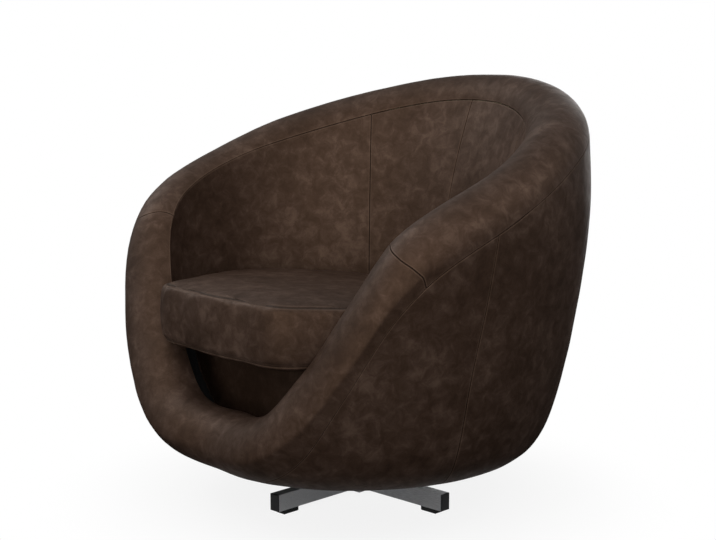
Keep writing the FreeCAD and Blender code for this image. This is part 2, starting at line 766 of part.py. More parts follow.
def apron_panel(front, back, bottom, top, inset):
    """An upright board across the well, cut to fit between the inner walls."""
    count = 12
    heights = [bottom + (top - bottom) * k / count for k in range(count + 1)]
    right = [Vector(apron_half_width(front, height) - inset, -front, height) for height in heights]
    left = [Vector(-point.x, point.y, point.z) for point in reversed(right)]
    face = Part.Face(Part.makePolygon(right + left + right[:1]))
    return face.extrude(Vector(0, front - back, 0))


def make_apron():
    front = WELL_DEPTH
    board_front = front - LEATHER - GAP
    board_back = board_front - size("apron_board")
    top = size("deck_height")
    cover = apron_panel(front, front - LEATHER, WELL_FLOOR + GAP, top, 2 * GAP)
    feature("apron_cover", cover)
    feature("apron_board", apron_panel(board_front, board_back, BOARD_TOP, RING_TOP, 7 * GAP))
    points = []
    for turn in turns(-wall_turn(front, WELL_FLOOR + GAP) + 1, wall_turn(front, WELL_FLOOR + GAP) - 1, 6):
        reach, _ = section(turn).point(to_foot(turn))
        points.append(plan(turn, reach - GAP, BOARD_TOP + GAP))
    ends = Part.makeLine(points[-1], points[0])
    floor = Part.Face(Part.Wire([curve_through(points).toShape(), ends]))
    feature("well_lining", floor.extrude(Vector(0, 0, size("well_lining"))))


def deck_outline(front, inset, height):
    """The seat deck's outline: straight in front, and inside the inner wall elsewhere."""
    start = wall_turn(front, height)
    points = []
    for turn in turns(start, 360 - start):
        points.append(plan(turn, wall_reach(turn, height) - inset, height))
    points[0].y = points[-1].y = -front
    wire = Part.Wire([curve_through(points).toShape(), Part.makeLine(points[-1], points[0])])
    return Part.Face(wire)


def make_deck():
    front = WELL_DEPTH - LEATHER - GAP
    up = Vector(0, 0, 1)
    cloth_bottom = size("deck_height") - size("deck_cloth")
    feature("seat_deck_cloth", deck_outline(front, 4 * GAP, cloth_bottom).extrude(up * size("deck_cloth")))
    pad_top = cloth_bottom - GAP
    pad_bottom = pad_top - size("deck_pad")
    pad_front = front - size("apron_board") - GAP
    pad = deck_outline(pad_front, 2 * size("ring_width"), pad_bottom).extrude(up * size("deck_pad"))
    feature("seat_deck_pad", pad)


def ring_middle(across):
    """Distance behind the axis of the seat ring's middle, at a distance across."""

    def nearer(turn):
        return -(ring_reach(turn) + size("ring_width") / 2) * math.sin(math.radians(turn))

    turn = find(nearer, -across, 90, 180)
    reach = ring_reach(turn) + size("ring_width") / 2
    return -reach * math.cos(math.radians(turn)) * DEPTH_RATIO


def zigzag(across, front, back, height):
    """One wire spring, bent in half circles between straight runs."""
    wanted = size("spring_pitch")
    runs = max(int(round((back - front) / wanted / 2)) * 2, 2)
    pitch = (back - front) / runs
    bend = pitch / 2
    reach = size("spring_width") / 2 - bend
    edges = []
    side = 1
    half_run = size("clip_width")
    here = Vector(across - side * half_run, front, height)
    for k in range(runs + 1):
        last = k == runs
        there = Vector(across + side * (half_run if last else reach), front + k * pitch, height)
        edges.append(Part.makeLine(here, there))
        if last:
            break
        far = Vector(there.x + side * bend, there.y + bend, height)
        after = Vector(there.x, there.y + pitch, height)
        edges.append(Part.Arc(there, far, after).toShape())
        here = after
        side = -side
    path = Part.Wire(edges)
    start = edges[0].Vertexes[0].Point
    circle = Part.makeCircle(size("spring_wire") / 2, start, Vector(1, 0, 0))
    return path.makePipeShell([Part.Wire(circle)], True, False)


def spring_clip(across, along, opens, floor, height):
    """A bent strip that holds a spring's end run down on the wood."""
    sheet_steel = size("clip_sheet")
    wire = size("spring_wire") / 2 + GAP / 2
    width = size("clip_width")
    top = height + wire + sheet_steel
    back = along - opens * (wire + sheet_steel)
    tongue = along + opens * wire * 2
    outline = [(back, floor), (back, top), (tongue, top), (tongue, top - sheet_steel),
               (back + opens * sheet_steel, top - sheet_steel), (back + opens * sheet_steel, floor)]
    points = [Vector(across - width / 2, y, z) for y, z in outline]
    face = Part.Face(Part.makePolygon(points + points[:1]))
    return face.extrude(Vector(width, 0, 0))


def make_springs():
    wire_height = RING_TOP + GAP / 2 + size("spring_wire") / 2
    front = -(WELL_DEPTH - LEATHER - GAP - size("apron_board") / 2)
    springs, clips = [], []
    count = int(size("spring_count"))
    for k in range(count):
        across = (k - (count - 1) / 2) * size("spring_spacing")
        back = ring_middle(abs(across))
        springs.append(zigzag(across, front, back, wire_height))
        floor = RING_TOP + GAP / 5
        clips.append(spring_clip(across, front, 1, floor, wire_height))
        clips.append(spring_clip(across, back, -1, floor, wire_height))
    feature("seat_springs", Part.makeCompound(springs))
    feature("spring_clips", Part.makeCompound(clips))


# Seat cushion

# Outline: plan angles from the middle of the front, and reach as a share of half the width.
# The front corners draw in where the arms of the tub press on them.
CUSHION_STATIONS = (0, 14, 28, 38, 48, 60, 80, 100, 125, 150, 180)
CUSHION_REACH_SHARES = (1.047, 1.056, 1.072, .970, .962, .958, .950, .871, .732, .614, .57)
# Crown and underside: shares of the outline where each goes flat
CROWN_FLAT_SHARE = .1
UNDERSIDE_FLAT_SHARE = .84
CROWN_POWERS = (2.2, .75)


def cushion_seams():
    """Heights of the cushion's lower and upper seams."""
    low = size("deck_height") + size("cushion_rest_gap") + size("cushion_sag")
    return low, low + size("cushion_border")


def crown_profile(inset):
    """Height, share of the outline and bulge, from the upper seam to the crown."""
    _, seam = cushion_seams()
    rise = size("cushion_crown") - inset
    steps = 9
    shares = [1 - (1 - CROWN_FLAT_SHARE) * k / steps for k in range(steps + 1)]
    widen, sharpen = CROWN_POWERS
    return [(seam + rise * (1 - share ** widen) ** sharpen, share, 0) for share in shares]


def border_profile(inset):
    """The same from the lower seam to the upper one."""
    low, high = cushion_seams()
    swell = size("cushion_bulge")
    steps = 6
    return [(low + (high - low) * k / steps, 1, swell * math.sin(math.pi * k / steps))
            for k in range(steps + 1)]


def underside_profile(inset):
    """The same from the flat underside to the lower seam."""
    seam, _ = cushion_seams()
    drop = size("cushion_sag") - inset
    steps = 4
    parts = [k / steps for k in range(steps + 1)]
    return [(seam - drop * (1 - part ** 2), UNDERSIDE_FLAT_SHARE + (1 - UNDERSIDE_FLAT_SHARE) * part, 0)
            for part in parts]


def cushion_net(profile, inset):
    """Control points of the right half of the cushion's case."""
    middle = Vector(0, -size("cushion_middle"), 0)
    rows = []
    for turn in turns(0, 180):
        share = smooth(CUSHION_STATIONS, CUSHION_REACH_SHARES, turn)
        spoke = plan(turn, share * size("cushion_width") / 2, 0) - middle
        if turn in (0, 180):
            spoke.x = 0
        outward = Vector(spoke).normalize()
        rows.append([middle + spoke * part + outward * ((bulge - inset) * part) + Vector(0, 0, height)
                     for height, part, bulge in profile(inset)])
    return net_through(rows)


def flipped(net):
    return [[Vector(-point.x, point.y, point.z) for point in row] for row in net]


def flat_cover(net, row):
    """The flat face inside one end of both halves of the case."""
    line = [points[row] for points in net]
    other = [points[row] for points in flipped(net)]
    return Part.Face(Part.Wire([edge_on(line), edge_on(list(reversed(other)))]))


def both_sides(net):
    return [face_on(net), face_on(flipped(net))]


def ring_between(one, other, row):
    """The narrow ring between two cases at one end of their profiles."""
    faces = []
    for net, inner in ((one, other), (flipped(one), flipped(other))):
        faces.append(face_on([[points[row] for points in net], [points[row] for points in inner]]))
    return faces


def case_panel(profile, flat_row, seam_rows):
    """A hide panel of the cushion: two skins, a flat middle and its seam edges."""
    outer, inner = cushion_net(profile, 0), cushion_net(profile, LEATHER)
    faces = both_sides(outer) + both_sides(inner)
    if flat_row is not None:
        faces += [flat_cover(outer, flat_row), flat_cover(inner, flat_row)]
    for row in seam_rows:
        faces += ring_between(outer, inner, row)
    return closed_solid(faces)


def make_cushion():
    low_seam, high_seam = cushion_seams()
    lift = Vector(0, 0, GAP / 2)
    top = case_panel(crown_profile, -1, (0,))
    top.translate(lift)
    bottom = case_panel(underside_profile, 0, (-1,))
    border = case_panel(border_profile, None, (0, -1))
    trim = Part.makeBox(2 * HEIGHT, 2 * HEIGHT, GAP, Vector(-HEIGHT, -HEIGHT, low_seam - GAP / 2))
    border = border.cut(trim)
    zip_back = size("cushion_width") / 2
    zip_height = (low_seam + high_seam) / 2
    slot = Part.makeBox(size("zip_length"), zip_back, size("zip_width"),
                        Vector(-size("zip_length") / 2, GAP, zip_height - size("zip_width") / 2))
    tape_width = size("zip_width") - GAP
    tape_length = size("zip_length") - GAP
    tape = Part.makeBox(tape_length, zip_back, tape_width,
                        Vector(-tape_length / 2, GAP, zip_height - tape_width / 2))
    feature("cushion_top_panel", top)
    feature("cushion_bottom_panel", bottom)
    feature("cushion_border", border.cut(slot))
    feature("cushion_zip", border.common(tape))
    feature("cushion_foam", cushion_filling())


def cushion_filling():
    """The foam: the case's form, drawn in by the hide and a gap."""
    inset = LEATHER + GAP
    sides = []
    for profile in (underside_profile, border_profile, crown_profile):
        sides.append(cushion_net(profile, inset))
    faces = [flat_cover(sides[0], 0), flat_cover(sides[2], -1)]
    for net in sides:
        faces += both_sides(net)
    return closed_solid(faces)


# Swivel and cross base


def bind(piece, **formulas):
    """Tie properties of a piece to the cells of the sheet."""
    for name, formula in formulas.items():
        piece.setExpression(name, formula)
    return piece


def place(piece, x="0", y="0", z="0", turn=None):
    """Tie a piece's place, and its turn about Z in degrees, to the sheet."""
    piece.setExpression("Placement.Base.x", x)
    piece.setExpression("Placement.Base.y", y)
    piece.setExpression("Placement.Base.z", z)
    if turn is not None:
        piece.Placement.Rotation = FreeCAD.Rotation(Vector(0, 0, 1), 1)
        piece.setExpression("Placement.Rotation.Angle", turn)
    return piece


def keep(piece, name):
    piece.Label = name
    SUBPARTS.append(piece)
    return piece


def origin_plane(body, role):
    return [item for item in body.Origin.OriginFeatures if item.Role == role][0]


def new_sketch(body, name, role):
    sketch = body.newObject("Sketcher::SketchObject", name)
    sketch.AttachmentSupport = [(origin_plane(body, role), "")]
    sketch.MapMode = "FlatFace"
    return sketch


def centred_rectangle(sketch, width, height, prefix=""):
    """A rectangle about the sketch's origin, with its sides tied to the sheet."""
    half_x = half_y = size("arm_width")
    corners = [Vector(-half_x, -half_y, 0), Vector(half_x, -half_y, 0), Vector(half_x, half_y, 0),
               Vector(-half_x, half_y, 0)]
    first = sketch.GeometryCount
    for k in range(4):
        sketch.addGeometry(Part.LineSegment(corners[k], corners[(k + 1) % 4]), False)
    for k in range(4):
        sketch.addConstraint(Sketcher.Constraint("Coincident", first + k, 2, first + (k + 1) % 4, 1))
    for k, kind in ((0, "Horizontal"), (2, "Horizontal"), (1, "Vertical"), (3, "Vertical")):
        sketch.addConstraint(Sketcher.Constraint(kind, first + k))
    sketch.addConstraint(Sketcher.Constraint("Symmetric", first, 1, first + 2, 1, -1, 1))
    wide = sketch.addConstraint(Sketcher.Constraint("DistanceX", first, 1, first, 2, 2 * half_x))
    tall = sketch.addConstraint(Sketcher.Constraint("DistanceY", first + 1, 1, first + 1, 2, 2 * half_y))
    for index, label, formula in ((wide, prefix + "wide", width), (tall, prefix + "tall", height)):
        sketch.renameConstraint(index, label)
        sketch.setExpression("Constraints." + label, formula)


def centred_circle(sketch, radius, name="radius"):
    """A circle about the sketch's origin, with its radius tied to the sheet."""
    start = size("pivot_radius")
    index = sketch.addGeometry(Part.Circle(Vector(0, 0, 0), Vector(0, 0, 1), start), False)
    sketch.addConstraint(Sketcher.Constraint("Coincident", index, 3, -1, 1))
    constraint = sketch.addConstraint(Sketcher.Constraint("Radius", index, start))
    sketch.renameConstraint(constraint, name)
    sketch.setExpression("Constraints." + name, radius)


def placed_circle(sketch, across, along, radius):
    """A circle away from the sketch's origin, with its place and radius tied to the sheet."""
    start, radius_start = size("hub_bolt_spread"), size("bolt_radius")
    centre = Vector(start, start if along else 0, 0)
    index = sketch.addGeometry(Part.Circle(centre, Vector(0, 0, 1), radius_start), False)
    ties = [("across", across, Sketcher.Constraint("DistanceX", -1, 1, index, 3, start)),
            ("radius", radius, Sketcher.Constraint("Radius", index, radius_start))]
    if along:
        ties.append(("along", along, Sketcher.Constraint("DistanceY", -1, 1, index, 3, start)))
    else:
        sketch.addConstraint(Sketcher.Constraint("PointOnObject", index, 3, -1))
    for label, formula, constraint in ties:
        number = sketch.addConstraint(constraint)
        sketch.renameConstraint(number, label)
        sketch.setExpression("Constraints." + label, formula)


def pad(body, sketch, length, reverse=False):
    piece = body.newObject("PartDesign::Pad", "Pad")
    piece.Profile = sketch
    piece.Reversed = reverse
    piece.setExpression("Length", length)
    sketch.Visibility = False
    return piece


def new_body(name):
    return keep(doc.addObject("PartDesign::Body", name), name)


ARM_NAMES = ("right", "back", "left", "front")
GLIDE_REACH = "(Sizes.base_span / 2 - Sizes.glide_inset - Sizes.glide_length / 2)"


def arm_turn(k):
    return "Sizes.base_turn + %d" % (90 * k)


def radial(piece, k, reach, height):
    """Place a piece at a reach along arm k."""
    turn = arm_turn(k)
    return place(piece, "(%s) * cos(%s)" % (reach, turn), "(%s) * sin(%s)" % (reach, turn), height, turn)


def make_arm(k):
    name = ARM_NAMES[k]
    body = new_body("base_arm_" + name)
    sketch = new_sketch(body, "ArmSection", "YZ_Plane")
    centred_rectangle(sketch, "Sizes.arm_width", "Sizes.arm_height")
    centred_rectangle(sketch, "Sizes.arm_width - 2 * Sizes.arm_wall",
                      "Sizes.arm_height - 2 * Sizes.arm_wall", "bore_")
    pad(body, sketch, "(Sizes.base_span - Sizes.hub_side) / 2 - Sizes.cap_flange")
    doc.recompute()
    hole = new_sketch(body, "GlideScrewHole", "XY_Plane")
    placed_circle(hole, "%s - Sizes.hub_side / 2" % GLIDE_REACH, None,
                  "Sizes.glide_screw_radius + Sizes.ball_play")
    pocket = body.newObject("PartDesign::Pocket", "ScrewHole")
    pocket.Profile = hole
    pocket.setExpression("Length", "Sizes.arm_height")
    radial(body, k, "Sizes.hub_side / 2", "Sizes.glide_height + Sizes.arm_height / 2")


def make_cap(k):
    name = ARM_NAMES[k]
    body = new_body("arm_end_cap_" + name)
    flange = new_sketch(body, "Flange", "YZ_Plane")
    centred_rectangle(flange, "Sizes.arm_width", "Sizes.arm_height")
    pad(body, flange, "Sizes.cap_flange")
    doc.recompute()
    plug = new_sketch(body, "Plug", "YZ_Plane")
    centred_rectangle(plug, "Sizes.arm_width - 2 * Sizes.arm_wall - 2 * Sizes.cap_play",
                      "Sizes.arm_height - 2 * Sizes.arm_wall - 2 * Sizes.cap_play")
    solid = pad(body, plug, "Sizes.cap_plug", reverse=True)
    doc.recompute()
    rim = [("Edge%d" % (n + 1)) for n, item in enumerate(solid.Shape.Edges)
           if min(v.X for v in item.Vertexes) > size("cap_flange") - GAP]
    rounding = body.newObject("PartDesign::Fillet", "Rounding")
    rounding.Base = (solid, rim)
    rounding.setExpression("Radius", "Sizes.cap_rounding")
    radial(body, k, "Sizes.base_span / 2 - Sizes.cap_flange", "Sizes.glide_height + Sizes.arm_height / 2")


def make_glide(k):
    name = ARM_NAMES[k]
    body = new_body("foot_glide_" + name)
    sketch = new_sketch(body, "Outline", "XY_Plane")
    centred_rectangle(sketch, "Sizes.glide_length", "Sizes.arm_width")
    centred_circle(sketch, "Sizes.glide_screw_radius + Sizes.cap_play")
    solid = pad(body, sketch, "Sizes.glide_height")
    doc.recompute()
    recess = new_sketch(body, "ScrewRecess", "XY_Plane")
    centred_circle(recess, "Sizes.glide_screw_head + Sizes.cap_play")
    pocket = body.newObject("PartDesign::Pocket", "Recess")
    pocket.Profile = recess
    pocket.setExpression("Length", "Sizes.glide_height / 2")
    pocket.Reversed = True
    doc.recompute()
    rim = []
    for n, item in enumerate(pocket.Shape.Edges):
        ends = [v.Point for v in item.Vertexes]
        if len(ends) == 2 and max(p.z for p in ends) < GAP:
            rim.append("Edge%d" % (n + 1))
    rounding = body.newObject("PartDesign::Fillet", "Rounding")
    rounding.Base = (pocket, rim)
    rounding.setExpression("Radius", "Sizes.glide_rounding")
    radial(body, k, GLIDE_REACH, "0")


def cylinder(name, radius, height, **where):
    return place(bind(doc.addObject("Part::Cylinder", name), Radius=radius, Height=height), **where)


def combined(kind, name, base, tool):
    """A cut or a fused pair of two objects."""
    piece = doc.addObject("Part::" + kind, name)
    piece.Base = base
    piece.Tool = tool
    return piece


def group(name, pieces):
    compound = doc.addObject("Part::Compound", name)
    compound.Links = pieces
    return keep(compound, name)


def make_screw(name, radius, length, head_radius, head_height, head_up, x, y, z):
    """A screw with a round head; z is where the head meets the shank."""
    shank_z = "%s - (%s)" % (z, length) if head_up else z
    head_z = z if head_up else "%s - (%s)" % (z, head_height)
    shank = cylinder(name + "_shank", radius, length, x=x, y=y, z=shank_z)
    head = cylinder(name + "_head", head_radius, head_height, x=x, y=y, z=head_z)
    return combined("Fuse", name, head, shank)


def make_hub():
    body = new_body("base_hub")
    sketch = new_sketch(body, "HubOutline", "XY_Plane")
    centred_rectangle(sketch, "Sizes.hub_side", "Sizes.hub_side")
    centred_circle(sketch, "Sizes.pivot_radius + Sizes.pivot_play")
    pad(body, sketch, "Sizes.arm_height")
    doc.recompute()
    recess = new_sketch(body, "HeadRecess", "XY_Plane")
    centred_circle(recess, "Sizes.pivot_head_radius + Sizes.pivot_play")
    pocket = body.newObject("PartDesign::Pocket", "Recess")
    pocket.Profile = recess
    pocket.setExpression("Length", "Sizes.pivot_head_height")
    pocket.Reversed = True
    doc.recompute()
    holes = new_sketch(body, "BoltHole", "XY_Plane")
    placed_circle(holes, "Sizes.hub_bolt_spread", "Sizes.hub_bolt_spread",
                  "Sizes.bolt_radius + Sizes.bolt_play")
    drill = body.newObject("PartDesign::Pocket", "Drill")
    drill.Profile = holes
    drill.Type = 1
    drill.Reversed = True
    doc.recompute()
    pattern = body.newObject("PartDesign::PolarPattern", "HoleCircle")
    pattern.Originals = [drill]
    pattern.Axis = (holes, ["N_Axis"])
    pattern.Angle = 360
    pattern.Occurrences = 4
    body.Tip = pattern
    place(body, z="Sizes.glide_height", turn="Sizes.base_turn")


CROSS_TOP = "Sizes.glide_height + Sizes.arm_height"
BOARD_FOOT = "Sizes.shell_underside + Sizes.leather + Sizes.layer_gap"
BALL_LEVEL = "(%s + Sizes.plate_sheet + %s - Sizes.plate_sheet) / 2" % (CROSS_TOP, BOARD_FOOT)


def race(name, plate_radius, plate_z, ring_z, ring_height, hole_radius):
    """A swivel plate with a grooved ring for the balls."""
    plate = cylinder(name + "_disc", plate_radius, "Sizes.plate_sheet", z=plate_z)
    outer = cylinder(name + "_ring", "Sizes.race_radius + Sizes.race_width / 2", ring_height, z=ring_z)
    inner = cylinder(name + "_ring_bore", "Sizes.race_radius - Sizes.race_width / 2", ring_height, z=ring_z)
    ring = combined("Cut", name + "_ring_cut", outer, inner)
    joined = combined("Fuse", name + "_joined", plate, ring)
    groove = place(bind(doc.addObject("Part::Torus", name + "_groove"), Radius1="Sizes.race_radius",
                        Radius2="Sizes.ball_radius + Sizes.ball_play"), z=BALL_LEVEL)
    grooved = combined("Cut", name + "_grooved", joined, groove)
    bore = cylinder(name + "_bore", hole_radius, "3 * Sizes.plate_sheet",
                    z="%s - Sizes.plate_sheet" % plate_z)
    return combined("Cut", name + "_bored", grooved, bore)


def drill_circle(name, solid, x_and_y, z, count):
    """Cut one bolt hole for each place."""
    holes = []
    for k in range(count):
        x, y = x_and_y(k)
        holes.append(cylinder("%s_hole_%d" % (name, k), "Sizes.bolt_radius + Sizes.bolt_play",
                              "3 * Sizes.plate_sheet", x=x, y=y, z="%s - Sizes.plate_sheet" % z))
    tool = doc.addObject("Part::Compound", name + "_holes")
    tool.Links = holes
    return combined("Cut", name, solid, tool)


def plate_bolt_place(k):
    turn = "%d * 360 / Sizes.plate_bolt_count" % k
    return "Sizes.plate_bolt_circle * cos(%s)" % turn, "Sizes.plate_bolt_circle * sin(%s)" % turn


def hub_bolt_place(k):
    turn = "%s + 45" % arm_turn(k)
    reach = "Sizes.hub_bolt_spread * sqrt(2)"
    return "%s * cos(%s)" % (reach, turn), "%s * sin(%s)" % (reach, turn)


def make_swivel():
    shelf = "%s - Sizes.race_opening / 2" % BALL_LEVEL
    roof = "%s + Sizes.race_opening / 2" % BALL_LEVEL
    lower = race("bottom_plate", "Sizes.bottom_plate_radius", CROSS_TOP, CROSS_TOP,
                 "%s - (%s)" % (shelf, CROSS_TOP), "Sizes.pivot_radius + Sizes.pivot_play")
    keep(drill_circle("swivel_bottom_plate", lower, hub_bolt_place, CROSS_TOP, 4), "swivel_bottom_plate")
    plate_z = "%s - Sizes.plate_sheet" % BOARD_FOOT
    upper = race("top_plate", "Sizes.top_plate_radius", plate_z, roof, "%s - (%s)" % (BOARD_FOOT, roof),
                 "Sizes.pivot_radius + Sizes.pivot_play")
    bolts = int(size("plate_bolt_count"))
    keep(drill_circle("swivel_top_plate", upper, plate_bolt_place, plate_z, bolts), "swivel_top_plate")
    balls, pockets = [], []
    for k in range(int(size("ball_count"))):
        turn = "%d * 360 / Sizes.ball_count" % k
        x, y = "Sizes.race_radius * cos(%s)" % turn, "Sizes.race_radius * sin(%s)" % turn
        balls.append(place(bind(doc.addObject("Part::Sphere", "ball_%d" % k), Radius="Sizes.ball_radius"),
                           x=x, y=y, z=BALL_LEVEL))
        pockets.append(cylinder("cage_hole_%d" % k, "Sizes.ball_radius + 2 * Sizes.ball_play",
                                "3 * Sizes.cage_sheet", x=x, y=y,
                                z="%s - 3 * Sizes.cage_sheet / 2" % BALL_LEVEL))
    group("bearing_balls", balls)
    disc = cylinder("cage_disc", "Sizes.race_radius + Sizes.race_width / 2", "Sizes.cage_sheet",
                    z="%s - Sizes.cage_sheet / 2" % BALL_LEVEL)
    bore = cylinder("cage_bore", "Sizes.race_radius - Sizes.race_width / 2", "3 * Sizes.cage_sheet",
                    z="%s - 3 * Sizes.cage_sheet / 2" % BALL_LEVEL)
    ring = combined("Cut", "cage_ring", disc, bore)
    holes = doc.addObject("Part::Compound", "cage_holes")
    holes.Links = pockets
    keep(combined("Cut", "bearing_cage", ring, holes), "bearing_cage")


def hexagon(name, radius, height, z):
    piece = doc.addObject("Part::Prism", name)
    piece.Polygon = 6
    return place(bind(piece, Circumradius=radius, Height=height), z=z)


def make_fasteners():
    head_z = "Sizes.glide_height + Sizes.pivot_play / 2"
    washer_z = "%s + Sizes.pivot_lift" % BOARD_FOOT
    nut_z = "%s + Sizes.pivot_washer_sheet" % washer_z
    bolt_end = "%s + Sizes.pivot_nut_height" % nut_z
    head = hexagon("pivot_head", "Sizes.pivot_head_radius",
                   "Sizes.pivot_head_height - Sizes.pivot_play / 2", head_z)
    shank = cylinder("pivot_shank", "Sizes.pivot_radius", "%s - (%s)" % (bolt_end, head_z), z=head_z)
    keep(combined("Fuse", "pivot_bolt", head, shank), "pivot_bolt")
    shaft_hole = "Sizes.pivot_radius + Sizes.ball_play"
    blank = hexagon("nut_blank", "Sizes.pivot_head_radius", "Sizes.pivot_nut_height", nut_z)
    washer = cylinder("washer_blank", "Sizes.pivot_washer_radius", "Sizes.pivot_washer_sheet", z=washer_z)
    bore = cylinder("nut_bore", shaft_hole, "2 * Sizes.plywood", z=BOARD_FOOT)
    other_bore = cylinder("washer_bore", shaft_hole, "2 * Sizes.plywood", z=BOARD_FOOT)
    group("pivot_nut_and_washer", [combined("Cut", "pivot_nut", blank, bore),
                                   combined("Cut", "pivot_washer", washer, other_bore)])
    bolts = []
    for k in range(int(size("plate_bolt_count"))):
        x, y = plate_bolt_place(k)
        bolts.append(make_screw("plate_bolt_%d" % k, "Sizes.bolt_radius",
                                "Sizes.plate_sheet + Sizes.plywood - Sizes.bolt_radius",
                                "Sizes.bolt_head_radius", "Sizes.bolt_head_height", False, x, y,
                                "%s - Sizes.plate_sheet" % BOARD_FOOT))
    group("plate_bolts", bolts)
    screws = []
    for k in range(4):
        x, y = hub_bolt_place(k)
        screws.append(make_screw("hub_bolt_%d" % k, "Sizes.bolt_radius", "Sizes.hub_bolt_depth",
                                 "Sizes.bolt_head_radius", "Sizes.bolt_head_height", True, x, y,
                                 "%s + Sizes.plate_sheet" % CROSS_TOP))
    group("hub_bolts", screws)
    small = []
    for k in range(4):
        x, y = "%s * cos(%s)" % (GLIDE_REACH, arm_turn(k)), "%s * sin(%s)" % (GLIDE_REACH, arm_turn(k))
        small.append(make_screw("glide_screw_%d" % k, "Sizes.glide_screw_radius", "Sizes.glide_screw_length",
                                "Sizes.glide_screw_head", "Sizes.glide_height / 4", False, x, y,
                                "Sizes.glide_height / 2"))
    group("glide_screws", small)


def make_base():
    make_hub()
    for k in range(4):
        make_arm(k)
        make_cap(k)
        make_glide(k)


make_base()
make_swivel()
make_fasteners()
make_boards()
make_ribs()
make_hoop()
make_seat_ring()
make_springs()
make_deck()
make_apron()
make_padding()
make_hide()
make_cushion()
doc.recompute()

for item in doc.Objects:
    if "Invalid" in item.State or "Error" in item.State:
        raise RuntimeError("%s did not build: %s" % (item.Name, item.State))
bad = [piece.Label for piece in SUBPARTS
       if piece.Shape.isNull() or not piece.Shape.isValid() or piece.Shape.Volume <= 0]
if bad:
    raise RuntimeError("No valid solid: " + ", ".join(bad))

os.makedirs("parts", exist_ok=True)
for piece in SUBPARTS:
    piece.Shape.exportStep("parts/%s.step" % piece.Label)
    box = piece.Shape.BoundBox
    print("%-26s %2d solids %9.1f cm3  z %6.1f to %6.1f" % (
        piece.Label, len(piece.Shape.Solids), piece.Shape.Volume / 1000, box.ZMin, box.ZMax))
print(len(SUBPARTS), "sub-parts")
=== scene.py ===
"""Looks of the swivel tub armchair: hides, cushion, cloths, foams, finishes, light and camera.

Lengths are in metres. The chair faces -Y, stands on z = 0 and turns about the Z axis.
"""
import functools
import math

import bmesh
import bpy
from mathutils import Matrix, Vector, noise


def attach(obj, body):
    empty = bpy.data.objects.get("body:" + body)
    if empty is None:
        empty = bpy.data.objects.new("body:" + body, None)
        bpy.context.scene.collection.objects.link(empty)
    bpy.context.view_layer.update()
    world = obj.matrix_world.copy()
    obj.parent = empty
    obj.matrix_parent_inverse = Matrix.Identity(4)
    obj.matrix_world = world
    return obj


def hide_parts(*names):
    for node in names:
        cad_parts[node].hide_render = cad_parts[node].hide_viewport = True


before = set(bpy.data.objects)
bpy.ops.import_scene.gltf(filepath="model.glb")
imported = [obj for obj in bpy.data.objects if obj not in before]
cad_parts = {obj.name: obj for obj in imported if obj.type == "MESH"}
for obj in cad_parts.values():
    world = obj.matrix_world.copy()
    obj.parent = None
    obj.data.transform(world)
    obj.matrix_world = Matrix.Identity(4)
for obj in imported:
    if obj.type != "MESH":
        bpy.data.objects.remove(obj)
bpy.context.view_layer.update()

# Form of the tub, in the same shares as its construction

# The tub's size, the radius of its roll, and the heights at which the inner wall ends
HALF_WIDTH = .445
HEIGHT = .760
UNDERSIDE = .072
FRONT_ROLL = .059
BACK_ROLL = .052
WELL_FLOOR = .0995
WALL_FOOT = .28225
# Degrees from the front in plan, and there: the reach and height of the roll's middle as shares of half
# the width and of the height, how much taller than wide the roll is, and the outer wall's reach
STATIONS = (0, 20, 35, 46, 56, 66, 86, 108, 136, 160, 180)
RIM_REACH = (.634, .719, .782, .840, .879, .883, .856, .820, .778, .766, .764)
RIM_HEIGHT = (.178, .193, .275, .408, .560, .642, .729, .810, .882, .921, .931)
ROLL_STRETCH = (1.0, 1.10, 1.58, 1.62, 1.40, 1.19, 1.10, 1.07, 1.03, 1.0, 1.0)
WALL_REACH = (1.002, 1.004, 1.004, 1.004, 1.0, .993, .978, .946, .899, .894, .892)
# The outer wall from its turned-in edge upwards, as shares of the height over the underside and of its reach
PROFILE_HEIGHT = (0, 0, .0116, .029, .052, .0916, .16, .273, .404, .549, .695, .84, 1.0)
PROFILE_REACH = (.44, .505, .58, .68, .76, .82, .87, .92, .962, 1.0, 1.02, 1.011, 1.0)
# At the stations: the inner seam in degrees past the roll's top, the outer seam's place on a section, how
# far the inner wall leans in as a share of half the width, and how late down the wall it does, from 0 to 1
INNER_SEAM = (33, 32, 32, 30, 33, 37, 46, 67, 79, 84, 85)
OUTER_SEAM = (.374, .691, .80, .90, .940, .973, 1.0, 1.05, 1.06, 1.06, 1.06)
INNER_LEAN = (.056, .140, .250, .310, .110, .050, .040, .068, .137, .190, .202)
INNER_BEND = (1, 1, 1, 1, 1, .9, .5, .1, 0, 0, 0)
# Degrees between which the roll's radius goes from front to back, and the inner wall's foot from well to deck
ROLL_BLEND = (70, 180)
FOOT_CLIMB = (44, 58)
# Degrees at which the upright seams stand, and how many more they lean at parts of their length
ARM_SEAM = 60
SIDE_SEAM = 77
BACK_SEAM = 136
LEAN_PARTS = (0, .2, .4, .6, .8, 1)
ARM_SEAM_LEAN = (1.9, -.6, -3.0, -4.3, -4.1, -3.4)
SIDE_SEAM_LEAN = (-3.5, -3.5, -3.4, -3.0, -1.2, .6)
# Degrees from a leaning seam at which the hide no longer follows it
LEAN_RANGE = 24
# Steps in which a section's outer wall is worked out, and halvings of a range in a search
WALL_STEPS = 64
HALVINGS = 40


def between(value, low, high):
    """Share of the way from low to high, kept within them."""
    return min(max((value - low) / (high - low), 0), 1)


def eased(share):
    """A share that starts and ends gently."""
    return share ** 2 * (3 - 2 * share)


def folded(turn):
    """Degrees from the front in plan, the same on both sides."""
    at = abs(turn) % 360
    return 360 - at if at > 180 else at


